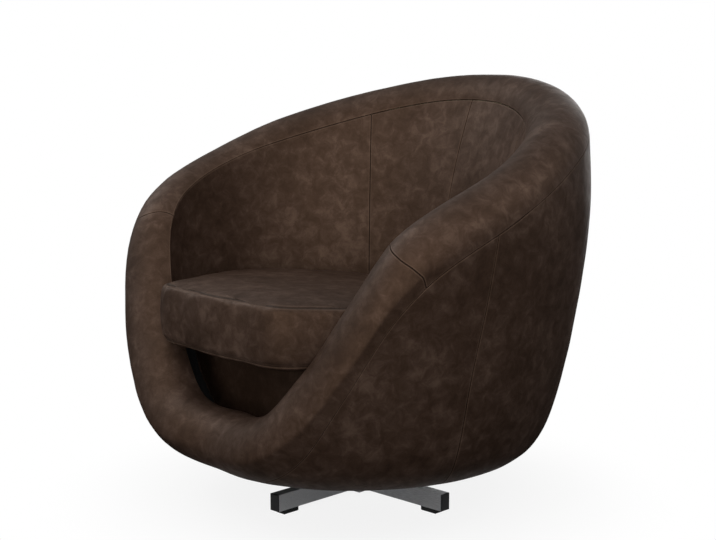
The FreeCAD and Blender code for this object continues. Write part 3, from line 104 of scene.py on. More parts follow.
@functools.lru_cache(maxsize=None)
def slopes(stations, values, level_ends):
    """Slope of a smooth curve at each of its stations."""
    rises = [(values[k + 1] - values[k]) / (stations[k + 1] - stations[k]) for k in range(len(values) - 1)]
    middle = []
    for k in range(1, len(values) - 1):
        slope = (values[k + 1] - values[k - 1]) / (stations[k + 1] - stations[k - 1])
        if rises[k - 1] * rises[k] >= 0:
            steepest = 3 * min(abs(rises[k - 1]), abs(rises[k]))
            slope = math.copysign(min(abs(slope), steepest), slope)
        middle.append(slope)
    ends = (0, 0) if level_ends else (rises[0], rises[-1])
    return [ends[0]] + middle + [ends[1]]


def smooth(stations, values, at, level_ends=True):
    """Value at a place on the smooth curve through the stations."""
    at = min(max(at, stations[0]), stations[-1])
    k = max(i for i in range(len(stations) - 1) if stations[i] <= at)
    rise = slopes(stations, values, level_ends)
    run = stations[k + 1] - stations[k]
    part = (at - stations[k]) / run
    back = 1 - part
    return (values[k] * (1 + 2 * part) * back ** 2 + rise[k] * run * part * back ** 2
            + values[k + 1] * (1 + 2 * back) * part ** 2 - rise[k + 1] * run * back * part ** 2)


def profile_lengths():
    """Distance along the outer wall to each point of its profile, at half the width."""
    lengths = [0]
    for k in range(1, len(PROFILE_HEIGHT)):
        rise = (PROFILE_HEIGHT[k] - PROFILE_HEIGHT[k - 1]) * (HEIGHT - UNDERSIDE)
        reach = (PROFILE_REACH[k] - PROFILE_REACH[k - 1]) * HALF_WIDTH
        lengths.append(lengths[-1] + math.hypot(rise, reach))
    return lengths


PROFILE = tuple(profile_lengths())


def profile_height(length):
    return UNDERSIDE + (HEIGHT - UNDERSIDE) * smooth(PROFILE, PROFILE_HEIGHT, length, level_ends=False)


def profile_reach(length):
    return smooth(PROFILE, PROFILE_REACH, length, level_ends=False)


def find(function, wanted, low, high):
    """Where a rising function takes a value."""
    for _ in range(HALVINGS):
        middle = (low + high) / 2
        if function(middle) < wanted:
            low = middle
        else:
            high = middle
    return (low + high) / 2


class Section:
    """The tub cut by an upright half plane through the swivel axis.

    A place along it runs from 0 at the turned-in edge to 1 at the roll's widest line,
    over the roll to the inner seam, and 1 further to the foot of the inner wall.
    """

    def __init__(self, turn):
        at = folded(turn)
        self.reach = smooth(STATIONS, RIM_REACH, at) * HALF_WIDTH
        self.height = smooth(STATIONS, RIM_HEIGHT, at) * HEIGHT
        self.wall = smooth(STATIONS, WALL_REACH, at) * HALF_WIDTH
        blend = between(at, *ROLL_BLEND)
        self.radius = FRONT_ROLL * (1 - blend) + BACK_ROLL * blend
        self.rise = self.radius * smooth(STATIONS, ROLL_STRETCH, at)
        self.wall_length = find(profile_height, self.height, 0, PROFILE[-1])
        self.step_out = self.reach + self.radius - self.wall * profile_reach(self.wall_length)
        self.inner = math.radians(smooth(STATIONS, INNER_SEAM, at))
        self.inner_seam = 1 + (math.pi / 2 + self.inner) / math.pi
        self.outer_seam = smooth(STATIONS, OUTER_SEAM, at)
        self.lean = smooth(STATIONS, INNER_LEAN, at) * HALF_WIDTH
        self.bend = smooth(STATIONS, INNER_BEND, at)
        climb = eased(between(at, *FOOT_CLIMB))
        self.foot = WELL_FLOOR * (1 - climb) + WALL_FOOT * climb
        self.seam_reach = self.reach - self.radius * math.sin(self.inner)
        self.seam_height = self.height + self.rise * math.cos(self.inner)
        lengths = [self.wall_length * k / WALL_STEPS for k in range(WALL_STEPS + 1)]
        self.reaches = [self.wall * profile_reach(length) for length in lengths]
        self.heights = [profile_height(length) for length in lengths]

    def point(self, place):
        """Reach and height of a place on the hide's outer face."""
        if place <= 1:
            place = max(place, 0)
            share = place * WALL_STEPS
            k = min(int(share), WALL_STEPS - 1)
            part = share - k
            reach = self.reaches[k] * (1 - part) + self.reaches[k + 1] * part
            return (reach + self.step_out * place ** 3,
                    self.heights[k] * (1 - part) + self.heights[k + 1] * part)
        if place <= self.inner_seam:
            lean = math.pi / 2 - math.pi * (place - 1)
            return self.reach + self.radius * math.sin(lean), self.height + self.rise * math.cos(lean)
        down = min(place - self.inner_seam, 1)
        drawn = (1 - self.bend) * (2 * down - down ** 2) + self.bend * down ** 2
        return self.seam_reach - self.lean * drawn, self.seam_height + (self.foot - self.seam_height) * down

    def inner_place(self, height):
        """Place on the inner side at a height."""
        if height > self.seam_height:
            return 1 + (math.pi / 2 + math.acos((height - self.height) / self.rise)) / math.pi
        return self.inner_seam + (self.seam_height - height) / (self.seam_height - self.foot)


@functools.lru_cache(maxsize=None)
def section(turn):
    return Section(turn)


# Degrees between the sections that are worked out; the hide between two of them is a mix
SECTION_STEP = .5


def on_hide(turn, part, start, end):
    """Reach and height at a part of the way from one line round the tub to another."""
    low = math.floor(turn / SECTION_STEP) * SECTION_STEP
    mix = (turn - low) / SECTION_STEP
    spots = []
    for here in (section(low), section(low + SECTION_STEP)):
        first, last = start(here), end(here)
        spots.append(here.point(first + part * (last - first)))
    return [one * (1 - mix) + other * mix for one, other in zip(*spots)]


def leaned(turn, part, seam, lean):
    """A plan angle, turned on by the lean of a nearby seam at this part of its length."""
    at = (turn + 180) % 360 - 180
    near = max(1 - abs(abs(at) - seam) / LEAN_RANGE, 0)
    shift = eased(near) * smooth(LEAN_PARTS, lean, part, level_ends=False)
    return turn + math.copysign(shift, shift * at)


def plan(turn, reach, height):
    """The point of space at a plan angle, a reach and a height."""
    angle = math.radians(turn)
    return Vector((reach * math.sin(angle), -reach * math.cos(angle), height))


def wall_reach(turn, height):
    """Reach of the inner side at a plan angle and a height."""
    here = section(turn)
    return here.point(here.inner_place(max(height, here.foot)))[0]


@functools.lru_cache(maxsize=None)
def wall_turn(front, height):
    """Plan angle at which the inner wall crosses an upright plane."""
    return find(lambda turn: -wall_reach(turn, height) * math.cos(math.radians(turn)), -front, 0, SIDE_SEAM)


# Finishes

def hex_colour(text):
    """Linear colour of an sRGB hex value."""
    parts = [int(text[k:k + 2], 16) / 255 for k in (1, 3, 5)]
    return [p / 12.92 if p <= .04045 else ((p + .055) / 1.055) ** 2.4 for p in parts] + [1]


def add_node(tree, kind, settings=None, links=None):
    """A node with its settings, and its inputs set or linked by name or number."""
    node = tree.nodes.new(kind)
    for name, value in (settings or {}).items():
        setattr(node, name, value)
    for name, value in (links or {}).items():
        if isinstance(value, bpy.types.NodeSocket):
            tree.links.new(value, node.inputs[name])
        else:
            node.inputs[name].default_value = value
    return node


def material(name):
    """A new material with its tree, its shader and the object's coordinates."""
    finish = bpy.data.materials.new(name)
    finish.use_nodes = True
    tree = finish.node_tree
    shader = tree.nodes["Principled BSDF"]
    place = add_node(tree, "ShaderNodeTexCoord").outputs["Object"]
    return finish, tree, shader, place


def ramp(tree, value, stops):
    """A colour ramp through (place, hex colour) stops."""
    node = add_node(tree, "ShaderNodeValToRGB", links={"Fac": value})
    points = node.color_ramp.elements
    while len(points) < len(stops):
        points.new(.5)
    for point, (at, colour) in zip(points, stops):
        point.position = at
        point.color = hex_colour(colour)
    return node.outputs["Color"]


def scaled(tree, value, low, high, to_low, to_high):
    """A value taken gently from one range to another."""
    node = add_node(tree, "ShaderNodeMapRange", {"interpolation_type": "SMOOTHSTEP"},
                    {"Value": value, "From Min": low, "From Max": high, "To Min": to_low, "To Max": to_high})
    return node.outputs["Result"]


def grain(tree, place, size, detail=3, roughness=.5, distortion=0.0):
    """Noise whose features are about a size across."""
    return add_node(tree, "ShaderNodeTexNoise", links={
        "Vector": place, "Scale": 1 / size, "Detail": detail, "Roughness": roughness,
        "Distortion": distortion}).outputs["Fac"]


def blend_colour(tree, mode, share, first, second):
    """Two colours blended by a share."""
    node = add_node(tree, "ShaderNodeMix", {"data_type": "RGBA", "blend_type": mode})
    for socket, value in ((node.inputs[0], share), (node.inputs[6], first), (node.inputs[7], second)):
        if isinstance(value, bpy.types.NodeSocket):
            tree.links.new(value, socket)
        else:
            socket.default_value = value
    return node.outputs[2]


def bump(tree, shader, layers):
    """Bumps on one another, each a (height, strength, distance) layer."""
    normal = None
    for height, strength, distance in layers:
        node = add_node(tree, "ShaderNodeBump",
                        links={"Height": height, "Strength": strength, "Distance": distance})
        if normal:
            tree.links.new(normal, node.inputs["Normal"])
        normal = node.outputs["Normal"]
    tree.links.new(normal, shader.inputs["Normal"])


# Sizes of the leather's markings, from the broad clouds in its dye to the pebble of its grain
CLOUD, BLOT, CREASE, SPECK, PEBBLE = .10, .022, .013, .0036, .0017


def pull_up_leather(name, tint="#FFFFFF"):
    """Waxed full-grain hide: soft light patches where it was stretched, a fine pebble, a satin face.

    The attribute "seam" of a piece is the distance from its nearest seam in millimetres: the groove is
    painted dark as painted shade, and just beside it a light line is painted, partly wear and partly a
    painted highlight on the seam's rolled edge.
    """
    finish, tree, shader, place = material(name)
    clouds = grain(tree, place, CLOUD, 3, .5, .5)
    blots = grain(tree, place, BLOT, 6, .66, .5)
    specks = grain(tree, place, SPECK, 4, .65)
    mixed = add_node(tree, "ShaderNodeMix", {"data_type": "FLOAT"}, {0: .62, 2: clouds, 3: blots}).outputs[0]
    base = ramp(tree, mixed, ((.36, "#241914"), (.46, "#31241D"), (.54, "#3C2E27"), (.65, "#514138")))
    fine = ramp(tree, specks, ((.3, "#8C8C8C"), (.7, "#C0C0C0")))
    base = blend_colour(tree, "OVERLAY", .32, base, fine)
    seam = add_node(tree, "ShaderNodeAttribute", {"attribute_name": "seam"}).outputs["Fac"]
    # A light line just beside the seam: partly the hide's wear where it is stretched over the seam's edge,
    # partly a painted highlight on that edge
    wear_and_highlight = scaled(tree, seam, 1.0, 1.7, 0, .16)
    fade = scaled(tree, seam, 1.9, 3.6, 1, 0)
    edge = add_node(tree, "ShaderNodeMath", {"operation": "MULTIPLY"}, {0: wear_and_highlight, 1: fade}).outputs[0]
    base = blend_colour(tree, "MIX", edge, base, hex_colour("#80695A"))
    # Painted shade: the hide is darkened almost to black in the seam's groove
    base = blend_colour(tree, "MIX", scaled(tree, seam, .3, 1.1, .8, 0), base, hex_colour("#0B0806"))
    # A tint other than white darkens the whole hide; the apron's tint is painted shade
    base = blend_colour(tree, "MULTIPLY", 1, base, hex_colour(tint))
    tree.links.new(base, shader.inputs["Base Color"])
    tree.links.new(scaled(tree, blots, .3, .7, .60, .50), shader.inputs["Roughness"])
    pebble = add_node(tree, "ShaderNodeTexVoronoi", {"feature": "SMOOTH_F1"},
                      {"Vector": place, "Scale": 1 / PEBBLE, "Smoothness": .6}).outputs["Distance"]
    creases = grain(tree, place, CREASE, 5, .65, 1.2)
    bump(tree, shader, ((creases, .22, .0010), (pebble, .28, .0005)))
    shader.inputs["Specular IOR Level"].default_value = .42
    shader.inputs["Specular Tint"].default_value = hex_colour("#FFCDA8")
    return finish


THREAD = .0016
# The wave node's scale for which a light band is one thread wide, to about 1%
THREAD_WAVES = 1 / THREAD / 6.283


def woven_cloth():
    """Black spun lining cloth: a plain weave, drawn at 1.6 mm a thread so that it shows."""
    finish, tree, shader, place = material("black_lining_cloth")
    weave = []
    for turn in (0, math.pi / 2):
        turned = add_node(tree, "ShaderNodeMapping", links={"Vector": place, "Rotation": (0, 0, turn)})
        waves = add_node(tree, "ShaderNodeTexWave", {"bands_direction": "X"},
                         {"Vector": turned.outputs[0], "Scale": THREAD_WAVES, "Distortion": .6})
        weave.append(waves.outputs["Fac"])
    crossed = add_node(tree, "ShaderNodeMath", {"operation": "MULTIPLY"}, {0: weave[0], 1: weave[1]})
    threads = crossed.outputs[0]
    tree.links.new(ramp(tree, threads, ((0, "#0D0D0E"), (1, "#242426"))), shader.inputs["Base Color"])
    shader.inputs["Roughness"].default_value = .9
    bump(tree, shader, ((threads, .6, .0004),))
    return finish


def felt():
    """Needled felt: grey fibres matted every way, quite dull."""
    finish, tree, shader, place = material("needled_felt")
    fibres = grain(tree, place, .0012, 6, .8, 1.5)
    tree.links.new(ramp(tree, fibres, ((.3, "#1B1917"), (.7, "#3A3632"))), shader.inputs["Base Color"])
    shader.inputs["Roughness"].default_value = .98
    bump(tree, shader, ((fibres, .8, .0008),))
    return finish


FOAM_CELL = .0022


def foam():
    """Cut polyurethane foam: cream, with small open cells, drawn at 2.2 mm so that they show."""
    finish, tree, shader, place = material("cut_polyurethane_foam")
    voronoi = add_node(tree, "ShaderNodeTexVoronoi", links={"Vector": place, "Scale": 1 / FOAM_CELL})
    cells = voronoi.outputs["Distance"]
    tree.links.new(ramp(tree, cells, ((.1, "#B9A877"), (.6, "#E2D6AE"))), shader.inputs["Base Color"])
    shader.inputs["Roughness"].default_value = .95
    bump(tree, shader, ((cells, .7, .0006),))
    return finish


def brushed_steel(name, turn):
    """Stainless tube, brushed along its length: soft streaks in the reflections."""
    finish, tree, shader, place = material(name)
    along = add_node(tree, "ShaderNodeMapping",
                     links={"Vector": place, "Rotation": (0, 0, math.radians(-turn)), "Scale": (1, 30, 30)})
    streaks = grain(tree, along.outputs[0], .03, 4, .7)
    smudges = grain(tree, place, .03, 3, .5)
    tree.links.new(ramp(tree, streaks, ((.3, "#C4C4C6"), (.7, "#E8E8EA"))), shader.inputs["Base Color"])
    shader.inputs["Metallic"].default_value = 1
    rough = add_node(tree, "ShaderNodeMath", {"operation": "MULTIPLY_ADD"}, {0: smudges, 1: .12, 2: .26})
    tree.links.new(rough.outputs[0], shader.inputs["Roughness"])
    shader.inputs["Anisotropic"].default_value = .5
    bump(tree, shader, ((streaks, .12, .0002),))
    return finish


def zinc_plate():
    """Bright zinc on pressed steel: pale, slightly blue and cloudy."""
    finish, tree, shader, place = material("bright_zinc_plate")
    clouds = grain(tree, place, .012, 4, .6)
    tree.links.new(ramp(tree, clouds, ((.3, "#8E9296"), (.7, "#B4B8BC"))), shader.inputs["Base Color"])
    shader.inputs["Metallic"].default_value = 1
    tree.links.new(scaled(tree, clouds, .3, .7, .28, .42), shader.inputs["Roughness"])
    bump(tree, shader, ((grain(tree, place, .0015), .15, .0002),))
    return finish


def polished_steel():
    """Hardened bearing steel, ground and polished."""
    finish, tree, shader, place = material("polished_bearing_steel")
    oil = grain(tree, place, .004, 3)
    tree.links.new(ramp(tree, oil, ((.3, "#B5B5B8"), (.7, "#CFCFD2"))), shader.inputs["Base Color"])
    shader.inputs["Metallic"].default_value = 1
    tree.links.new(scaled(tree, oil, .3, .7, .08, .18), shader.inputs["Roughness"])
    return finish


def moulded(name, dark, light, rough, size):
    """Moulded plastic or rubber: one colour with a fine spark-eroded texture."""
    finish, tree, shader, place = material(name)
    texture = grain(tree, place, size, 4, .6)
    tree.links.new(ramp(tree, texture, ((.3, dark), (.7, light))), shader.inputs["Base Color"])
    tree.links.new(scaled(tree, texture, .3, .7, rough + .06, rough - .06), shader.inputs["Roughness"])
    bump(tree, shader, ((texture, .3, .0002),))
    return finish


VENEER, GLUE_LINE = .0015, .0004


def plywood():
    """Birch plywood: pale veneers with dark glue lines every 1.5 mm up its edge."""
    finish, tree, shader, place = material("birch_plywood")
    long = add_node(tree, "ShaderNodeMapping", links={"Vector": place, "Scale": (1, 12, 12)}).outputs[0]
    fibre = grain(tree, long, .06, 5, .6, .5)
    wood = ramp(tree, fibre, ((.25, "#B58E5E"), (.75, "#D9B988")))
    height = add_node(tree, "ShaderNodeSeparateXYZ", links={"Vector": place}).outputs["Z"]
    veneer = add_node(tree, "ShaderNodeMath", {"operation": "PINGPONG"}, {0: height, 1: VENEER}).outputs[0]
    glue = scaled(tree, veneer, 0, GLUE_LINE, .5, 0)
    wood = blend_colour(tree, "MULTIPLY", glue, wood, hex_colour("#6B4A2A"))
    tree.links.new(wood, shader.inputs["Base Color"])
    shader.inputs["Roughness"].default_value = .7
    bump(tree, shader, ((fibre, .25, .0004),))
    return finish


def pressed_board():
    """Hardboard: brown, flecked, smooth on one face."""
    finish, tree, shader, place = material("pressed_hardboard")
    flecks = grain(tree, place, .003, 6, .75)
    tree.links.new(ramp(tree, flecks, ((.3, "#4E3621"), (.7, "#7A5838"))), shader.inputs["Base Color"])
    shader.inputs["Roughness"].default_value = .75
    bump(tree, shader, ((flecks, .3, .0003),))
    return finish


LEATHER_FINISH = pull_up_leather("waxed_pull_up_leather")
# The hide under the cushion is tinted darker, as painted shade from the cushion above it
APRON_SHADE_FINISH = pull_up_leather("pull_up_leather_painted_shade", "#B4AEA8")
CLOTH_FINISH = woven_cloth()
FELT_FINISH = felt()
FOAM_FINISH = foam()
ZINC_FINISH = zinc_plate()
WOOD_FINISH = plywood()
# Degrees by which the steel cross is turned in plan, for the direction of its brushing
BASE_TURN = 4.6
STEEL_ALONG_X = brushed_steel("steel_brushed_across", BASE_TURN)
STEEL_ALONG_Y = brushed_steel("steel_brushed_front_to_back", BASE_TURN + 90)
PLASTIC_FINISH = moulded("black_moulded_plastic", "#0E0E0F", "#19191A", .42, .0009)
RUBBER_FINISH = moulded("black_moulded_rubber", "#0B0B0B", "#151515", .8, .0012)
NYLON_FINISH = moulded("white_moulded_nylon", "#C9C8C2", "#DAD9D3", .5, .0011)
SPRING_FINISH = moulded("black_oxide_spring_steel", "#17181B", "#2B2D31", .45, .0015)
SPRING_FINISH.node_tree.nodes["Principled BSDF"].inputs["Metallic"].default_value = .7
ZIP_FINISH = moulded("brown_nylon_zip", "#1A120D", "#2B2019", .6, .001)

NODE_FINISHES = {
    "base_hub": STEEL_ALONG_X, "base_arm_right": STEEL_ALONG_X, "base_arm_left": STEEL_ALONG_X,
    "base_arm_front": STEEL_ALONG_Y, "base_arm_back": STEEL_ALONG_Y,
    "bearing_balls": polished_steel(), "bearing_cage": NYLON_FINISH, "outer_liner": pressed_board(),
    "seat_springs": SPRING_FINISH, "spring_clips": SPRING_FINISH, "glide_screws": ZINC_FINISH,
    "swivel_bottom_plate": ZINC_FINISH, "swivel_top_plate": ZINC_FINISH, "pivot_bolt": ZINC_FINISH,
    "pivot_nut_and_washer": ZINC_FINISH, "hub_bolts": ZINC_FINISH, "plate_bolts": ZINC_FINISH,
    "base_board": WOOD_FINISH, "apron_board": WOOD_FINISH, "rim_hoop": WOOD_FINISH,
    "seat_ring_right": WOOD_FINISH, "seat_ring_left": WOOD_FINISH,
}
for node_name, node_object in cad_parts.items():
    if node_name.startswith("arm_end_cap"):
        NODE_FINISHES[node_name] = PLASTIC_FINISH
    elif node_name.startswith("foot_glide"):
        NODE_FINISHES[node_name] = RUBBER_FINISH
    elif node_name.startswith("rib_"):
        NODE_FINISHES[node_name] = WOOD_FINISH
    elif node_name == "cushion_zip":
        NODE_FINISHES[node_name] = ZIP_FINISH
    if node_name in NODE_FINISHES:
        node_object.data.materials.clear()
        node_object.data.materials.append(NODE_FINISHES[node_name])


# Pieces

def piece(name, bm, finish, body, slot, *nodes):
    """An object made from a bmesh, shaded smooth, that rides on a body and stands for nodes."""
    mesh = bpy.data.meshes.new(name)
    bm.to_mesh(mesh)
    bm.free()
    made = bpy.data.objects.new(name, mesh)
    bpy.context.scene.collection.objects.link(made)
    mesh.materials.append(finish)
    for face in mesh.polygons:
        face.use_smooth = True
    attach(made, body)
    if nodes:
        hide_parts(*nodes)
    return made


def thicken(made, thickness):
    """Gives a sheet its thickness, inwards from the face that was drawn."""
    wall = made.modifiers.new("thickness", "SOLIDIFY")
    wall.thickness = thickness
    wall.offset = -1


# Seams: each hide turns in over this radius, and two of them make the groove
SEAM_ROUND = .0016
# Distances from a seam at which a grid has its lines
NEAR_SEAM = (0, .0003, .0007, .0011, .0016, .0024, .0038, .0062, .010)


def across(length, count, first_stretch=1, last_stretch=1):
    """Distances across a panel, close together beside its seams, where it may be stretched."""
    first = [near / first_stretch for near in NEAR_SEAM]
    last = [length - near / last_stretch for near in reversed(NEAR_SEAM)]
    middle = [first[-1] + (last[0] - first[-1]) * k / count for k in range(1, count)]
    return [*first, *middle, *last]


def stretch(turn, start, end):
    """Length round the tub at a plan angle, against its length in plan."""
    before, after = (on_hide(turn + step, .5, start, end) for step in (-.5, .5))
    return math.dist(plan(turn - .5, *before), plan(turn + .5, *after)) / (math.radians(1) * before[0])


def seam_drop(one, other):
    """How far a hide turns in at its distances from the nearest seams both ways."""
    share = math.hypot(max(1 - one / SEAM_ROUND, 0), max(1 - other / SEAM_ROUND, 0))
    return SEAM_ROUND * (1 - math.sqrt(1 - min(share, 1) ** 2))


def sheet_grid(columns, rows):
    """A flat grid and, for each of its vertices, its column and row."""
    bm = bmesh.new()
    bm.verts.layers.float.new("seam")
    bmesh.ops.create_grid(bm, x_segments=columns - 1, y_segments=rows - 1, size=.5)
    spots = [(v, round((v.co.x + .5) * (columns - 1)), round((v.co.y + .5) * (rows - 1))) for v in bm.verts]
    return bm, spots


# Parts in which the length of a section is measured
SECTION_PARTS = 48


def parts_at(turn, start, end, distances):
    """Parts of the way along a section at distances from its start, and the whole length."""
    points = [on_hide(turn, k / SECTION_PARTS, start, end) for k in range(SECTION_PARTS + 1)]
    lengths = [0]
    for k in range(SECTION_PARTS):
        lengths.append(lengths[-1] + math.dist(points[k], points[k + 1]))
    result = []
    i = 0
    for distance in distances(lengths[-1]):
        while i < SECTION_PARTS - 1 and lengths[i + 1] < distance:
            i += 1
        past = (distance - lengths[i]) / (lengths[i + 1] - lengths[i])
        result.append(((i + past) / SECTION_PARTS, distance))
    return result, lengths[-1]


LEATHER_SHEET = .0016
# Gathers beside a seam: their depth, the distance over which they fade, and their number to a metre
PUCKER, PUCKER_FADE, PUCKERS = .0004, .011, 75
# How far a hide waves in and out, broadly and finely, and the number of waves to a metre
BROAD_WAVE, BROAD_WAVES = .0011, 8
FINE_WAVE, FINE_WAVES = .4 * BROAD_WAVE, 25
# The waves die out over this distance beside a seam
CALM = .02
# Steps of a panel's grid: round the tub, and along the section of a plain and of a strongly curved one
AROUND_STEP, PLAIN_STEP, CURVED_STEP = .010, .009, .006
FEWEST_STEPS = 4
# The distance that stands for a seam which a piece hasn't got, in metres
NO_SEAM = 1
MILLIMETRES = 1000


def puckers(distance, along, row, fade=PUCKER_FADE, number=PUCKERS):
    """Gathers along a seam, from -1 to 1, at a distance from it; every row has its own."""
    return math.exp(-distance / fade) * noise.noise(Vector((along * number, row, 0)))


def tub_panel(name, first, last, start, end, height_step=PLAIN_STEP, seams=(True, True, True, True),
              seam=None):
    """A hide panel of the tub between two plan angles and two lines that run round it.

    Seams says whether its low, high, first and last edges are sewn. Seam is the plan angle and the
    lean of an upright seam that its grid follows.
    """
    middle_turn = (first + last) / 2
    reach = on_hide(middle_turn, .5, start, end)[0]
    width = math.radians(last - first) * reach
    steps = max(int(width / AROUND_STEP), FEWEST_STEPS)
    around = across(width, steps, stretch(first, start, end), stretch(last, start, end))
    longest = max(parts_at(turn, start, end, lambda length: [0])[1] for turn in (first, middle_turn, last))
    count = max(int(longest / height_step), FEWEST_STEPS)
    low_seam, high_seam, first_seam, last_seam = seams
    table = []
    for distance in around:
        turn = first + math.degrees(distance / reach)
        table.append((turn, *parts_at(turn, start, end, lambda length: across(length, count))))
    bm, spots = sheet_grid(len(around), len(table[0][1]))
    near_seam = bm.verts.layers.float["seam"]
    ends = {}
    for vertex, i, j in spots:
        turn, parts, _ = table[i]
        part = parts[j][0]
        there = leaned(turn, part, *seam) if seam else turn
        vertex.co = plan(there, *on_hide(there, part, start, end))
        if i in (0, len(around) - 1):
            ends[i, j] = vertex.co.copy()
    details = []
    for vertex, i, j in spots:
        turn, parts, length = table[i]
        distance = parts[j][1]
        level = min(distance if low_seam else NO_SEAM, length - distance if high_seam else NO_SEAM)
        upright = min((vertex.co - ends[0, j]).length if first_seam else NO_SEAM,
                      (vertex.co - ends[len(around) - 1, j]).length if last_seam else NO_SEAM)
        vertex[near_seam] = min(level, upright) * MILLIMETRES
        details.append((vertex, level, upright, math.radians(turn) * reach, distance))
    bm.normal_update()
    if bm.faces[:][0].normal.dot(outward(first, start, end)) < 0:
        bmesh.ops.reverse_faces(bm, faces=bm.faces[:])
        bm.normal_update()
    for vertex, level, upright, around_distance, up_distance in details:
        spot = vertex.co.copy()
        waves = (BROAD_WAVE * noise.noise(spot * BROAD_WAVES) + FINE_WAVE * noise.noise(spot * FINE_WAVES))
        calm = min(min(level, upright) / CALM, 1)
        gather = PUCKER * (puckers(level, around_distance, 3) + puckers(upright, up_distance, 9))
        vertex.co = spot + vertex.normal * (waves * calm - abs(gather) - seam_drop(level, upright))
    made = piece(name, bm, LEATHER_FINISH, "tub", "brown_leather", name.replace("leather_", ""))
    thicken(made, LEATHER_SHEET)
    return made


def outward(turn, start, end):
    """Direction out of the hide at the first corner of a panel."""
    low, high = on_hide(turn, 0, start, end), on_hide(turn, .02, start, end)
    return plan(turn, high[1] - low[1], low[0] - high[0])


# The lines that run round the tub, each as its place on a section

def turned_edge(here):
    return 0


def outer_seam(here):
    return here.outer_seam


def inner_seam(here):
    return here.inner_seam


def wall_foot(here):
    return here.inner_seam + 1


# The hide under the cushion: how far in front of the axis it stands, its lower and upper edge, how far it
# stays from the wall, its thickness, and how far it stands back and waves about that
APRON_FRONT = .205
APRON_LOW, APRON_HIGH = .100, .2903
APRON_INSET = .002
APRON_SHEET = .0011
APRON_SLACK = .0008
# Height of the cloth deck under the cushion
DECK_HEIGHT = .2905


def line_well_with_painted_shade(panel):
    """Black lining cloth in place of hide where an inner panel goes down behind the front roll; the cloth
    also stands in for the well's shade, as painted shade.
    """
    panel.data.materials.append(CLOTH_FINISH)
    for face in panel.data.polygons:
        if face.center.z < DECK_HEIGHT and face.center.y < -APRON_FRONT:
            face.material_index = 1


OUTSIDE = {"seams": (False, True, True, True), "seam": (SIDE_SEAM, SIDE_SEAM_LEAN)}
ROLL = {"height_step": CURVED_STEP, "seam": (ARM_SEAM, ARM_SEAM_LEAN)}
INSIDE = {"seams": (True, False, True, True)}
tub_panel("leather_outer_side_panel_right", 0, SIDE_SEAM, turned_edge, outer_seam, **OUTSIDE)
tub_panel("leather_outer_side_panel_left", -SIDE_SEAM, 0, turned_edge, outer_seam, **OUTSIDE)
tub_panel("leather_outer_back_panel", SIDE_SEAM, 360 - SIDE_SEAM, turned_edge, outer_seam, **OUTSIDE)
tub_panel("leather_rim_cover_upper", ARM_SEAM, 360 - ARM_SEAM, outer_seam, inner_seam, **ROLL)
tub_panel("leather_rim_cover_front", -ARM_SEAM, ARM_SEAM, outer_seam, inner_seam, **ROLL)
line_well_with_painted_shade(tub_panel("leather_inner_side_panel_right", 0, BACK_SEAM, inner_seam, wall_foot, **INSIDE))
line_well_with_painted_shade(tub_panel("leather_inner_side_panel_left", -BACK_SEAM, 0, inner_seam, wall_foot, **INSIDE))
tub_panel("leather_inner_back_panel_right", BACK_SEAM, 180, inner_seam, wall_foot, **INSIDE)
tub_panel("leather_inner_back_panel_left", 180, 360 - BACK_SEAM, inner_seam, wall_foot, **INSIDE)


def apron():
    """The hide across the well under the cushion, between the two sides of the inner wall."""
    columns, rows = across(1, 50), across(APRON_HIGH - APRON_LOW, 16)
    bm, spots = sheet_grid(len(columns), len(rows))
    near_seam = bm.verts.layers.float["seam"]
    halves = []
    for row in rows:
        turn = wall_turn(APRON_FRONT, APRON_LOW + row)
        halves.append(wall_reach(turn, APRON_LOW + row) * math.sin(math.radians(turn)) - APRON_INSET)
    for vertex, i, j in spots:
        height, half = APRON_LOW + rows[j], halves[j]
        x = (columns[i] * 2 - 1) * half
        side, top = half - abs(x), APRON_HIGH - height
        vertex.co = Vector((x, -APRON_FRONT, height))
        vertex[near_seam] = min(side, top) * MILLIMETRES
        slack = APRON_SLACK * noise.noise(vertex.co * 30)
        vertex.co.y += seam_drop(side, top) + slack + APRON_SLACK
    bm.normal_update()
    if bm.faces[:][0].normal.y > 0:
        bmesh.ops.reverse_faces(bm, faces=bm.faces[:])
    # The apron's hide is tinted darker: painted shade under the cushion
    made = piece("leather_apron_cover", bm, APRON_SHADE_FINISH, "tub", "brown_leather", "apron_cover")
    thicken(made, APRON_SHEET)


apron()


# Cushion

# Degrees from the front in plan, and the border's reach there as a share of CUSHION_HALF
CUSHION_STATIONS = (0, 14, 28, 38, 48, 60, 80, 100, 125, 150, 180)
CUSHION_REACH = (1.047, 1.062, 1.118, 1.040, .985, .960, .950, .871, .732, .614, .57)
CUSHION_HALF = .325
CUSHION_MIDDLE = Vector((0, -.080, 0))
# Heights of the border's two edges before the case slopes
LOW_SEAM, HIGH_SEAM = .3003, .4023
# How far the crown stands over the upper edge: that of the case, and that of the solid filling
CUSHION_CROWN = .011
FILLING_CROWN = .028
# The case slopes to the back: how much of its height it loses by the metre, from this far in front
CASE_SLOPE, SLOPE_FRONT = .57, .34
# Stitched lines on the border, just inside its two edges
LOW_LINE, HIGH_LINE = .3030, .4005
# How far the underside hangs below the border, and how far the border stands out halfway up
CUSHION_SAG = .0095
CUSHION_BULGE = .005
# How much smaller the case is drawn before it swells, and how far a point may move when it does
SLACK = .0035
SWELL_CAP = .005
SWELL_FRAMES = 20
SWELL_SETTINGS = {
    "quality": 5, "mass": .3, "tension_stiffness": 12, "compression_stiffness": 12, "bending_stiffness": .6,
    "use_pressure": True, "uniform_pressure_force": 4,
}
VOXEL = .007
# Distances from a stitched line at which the case is cut, so that its groove has points to sink
CUTS = (0, .0004, .0009, .0015, .0023, .0034, .0048, .0066)
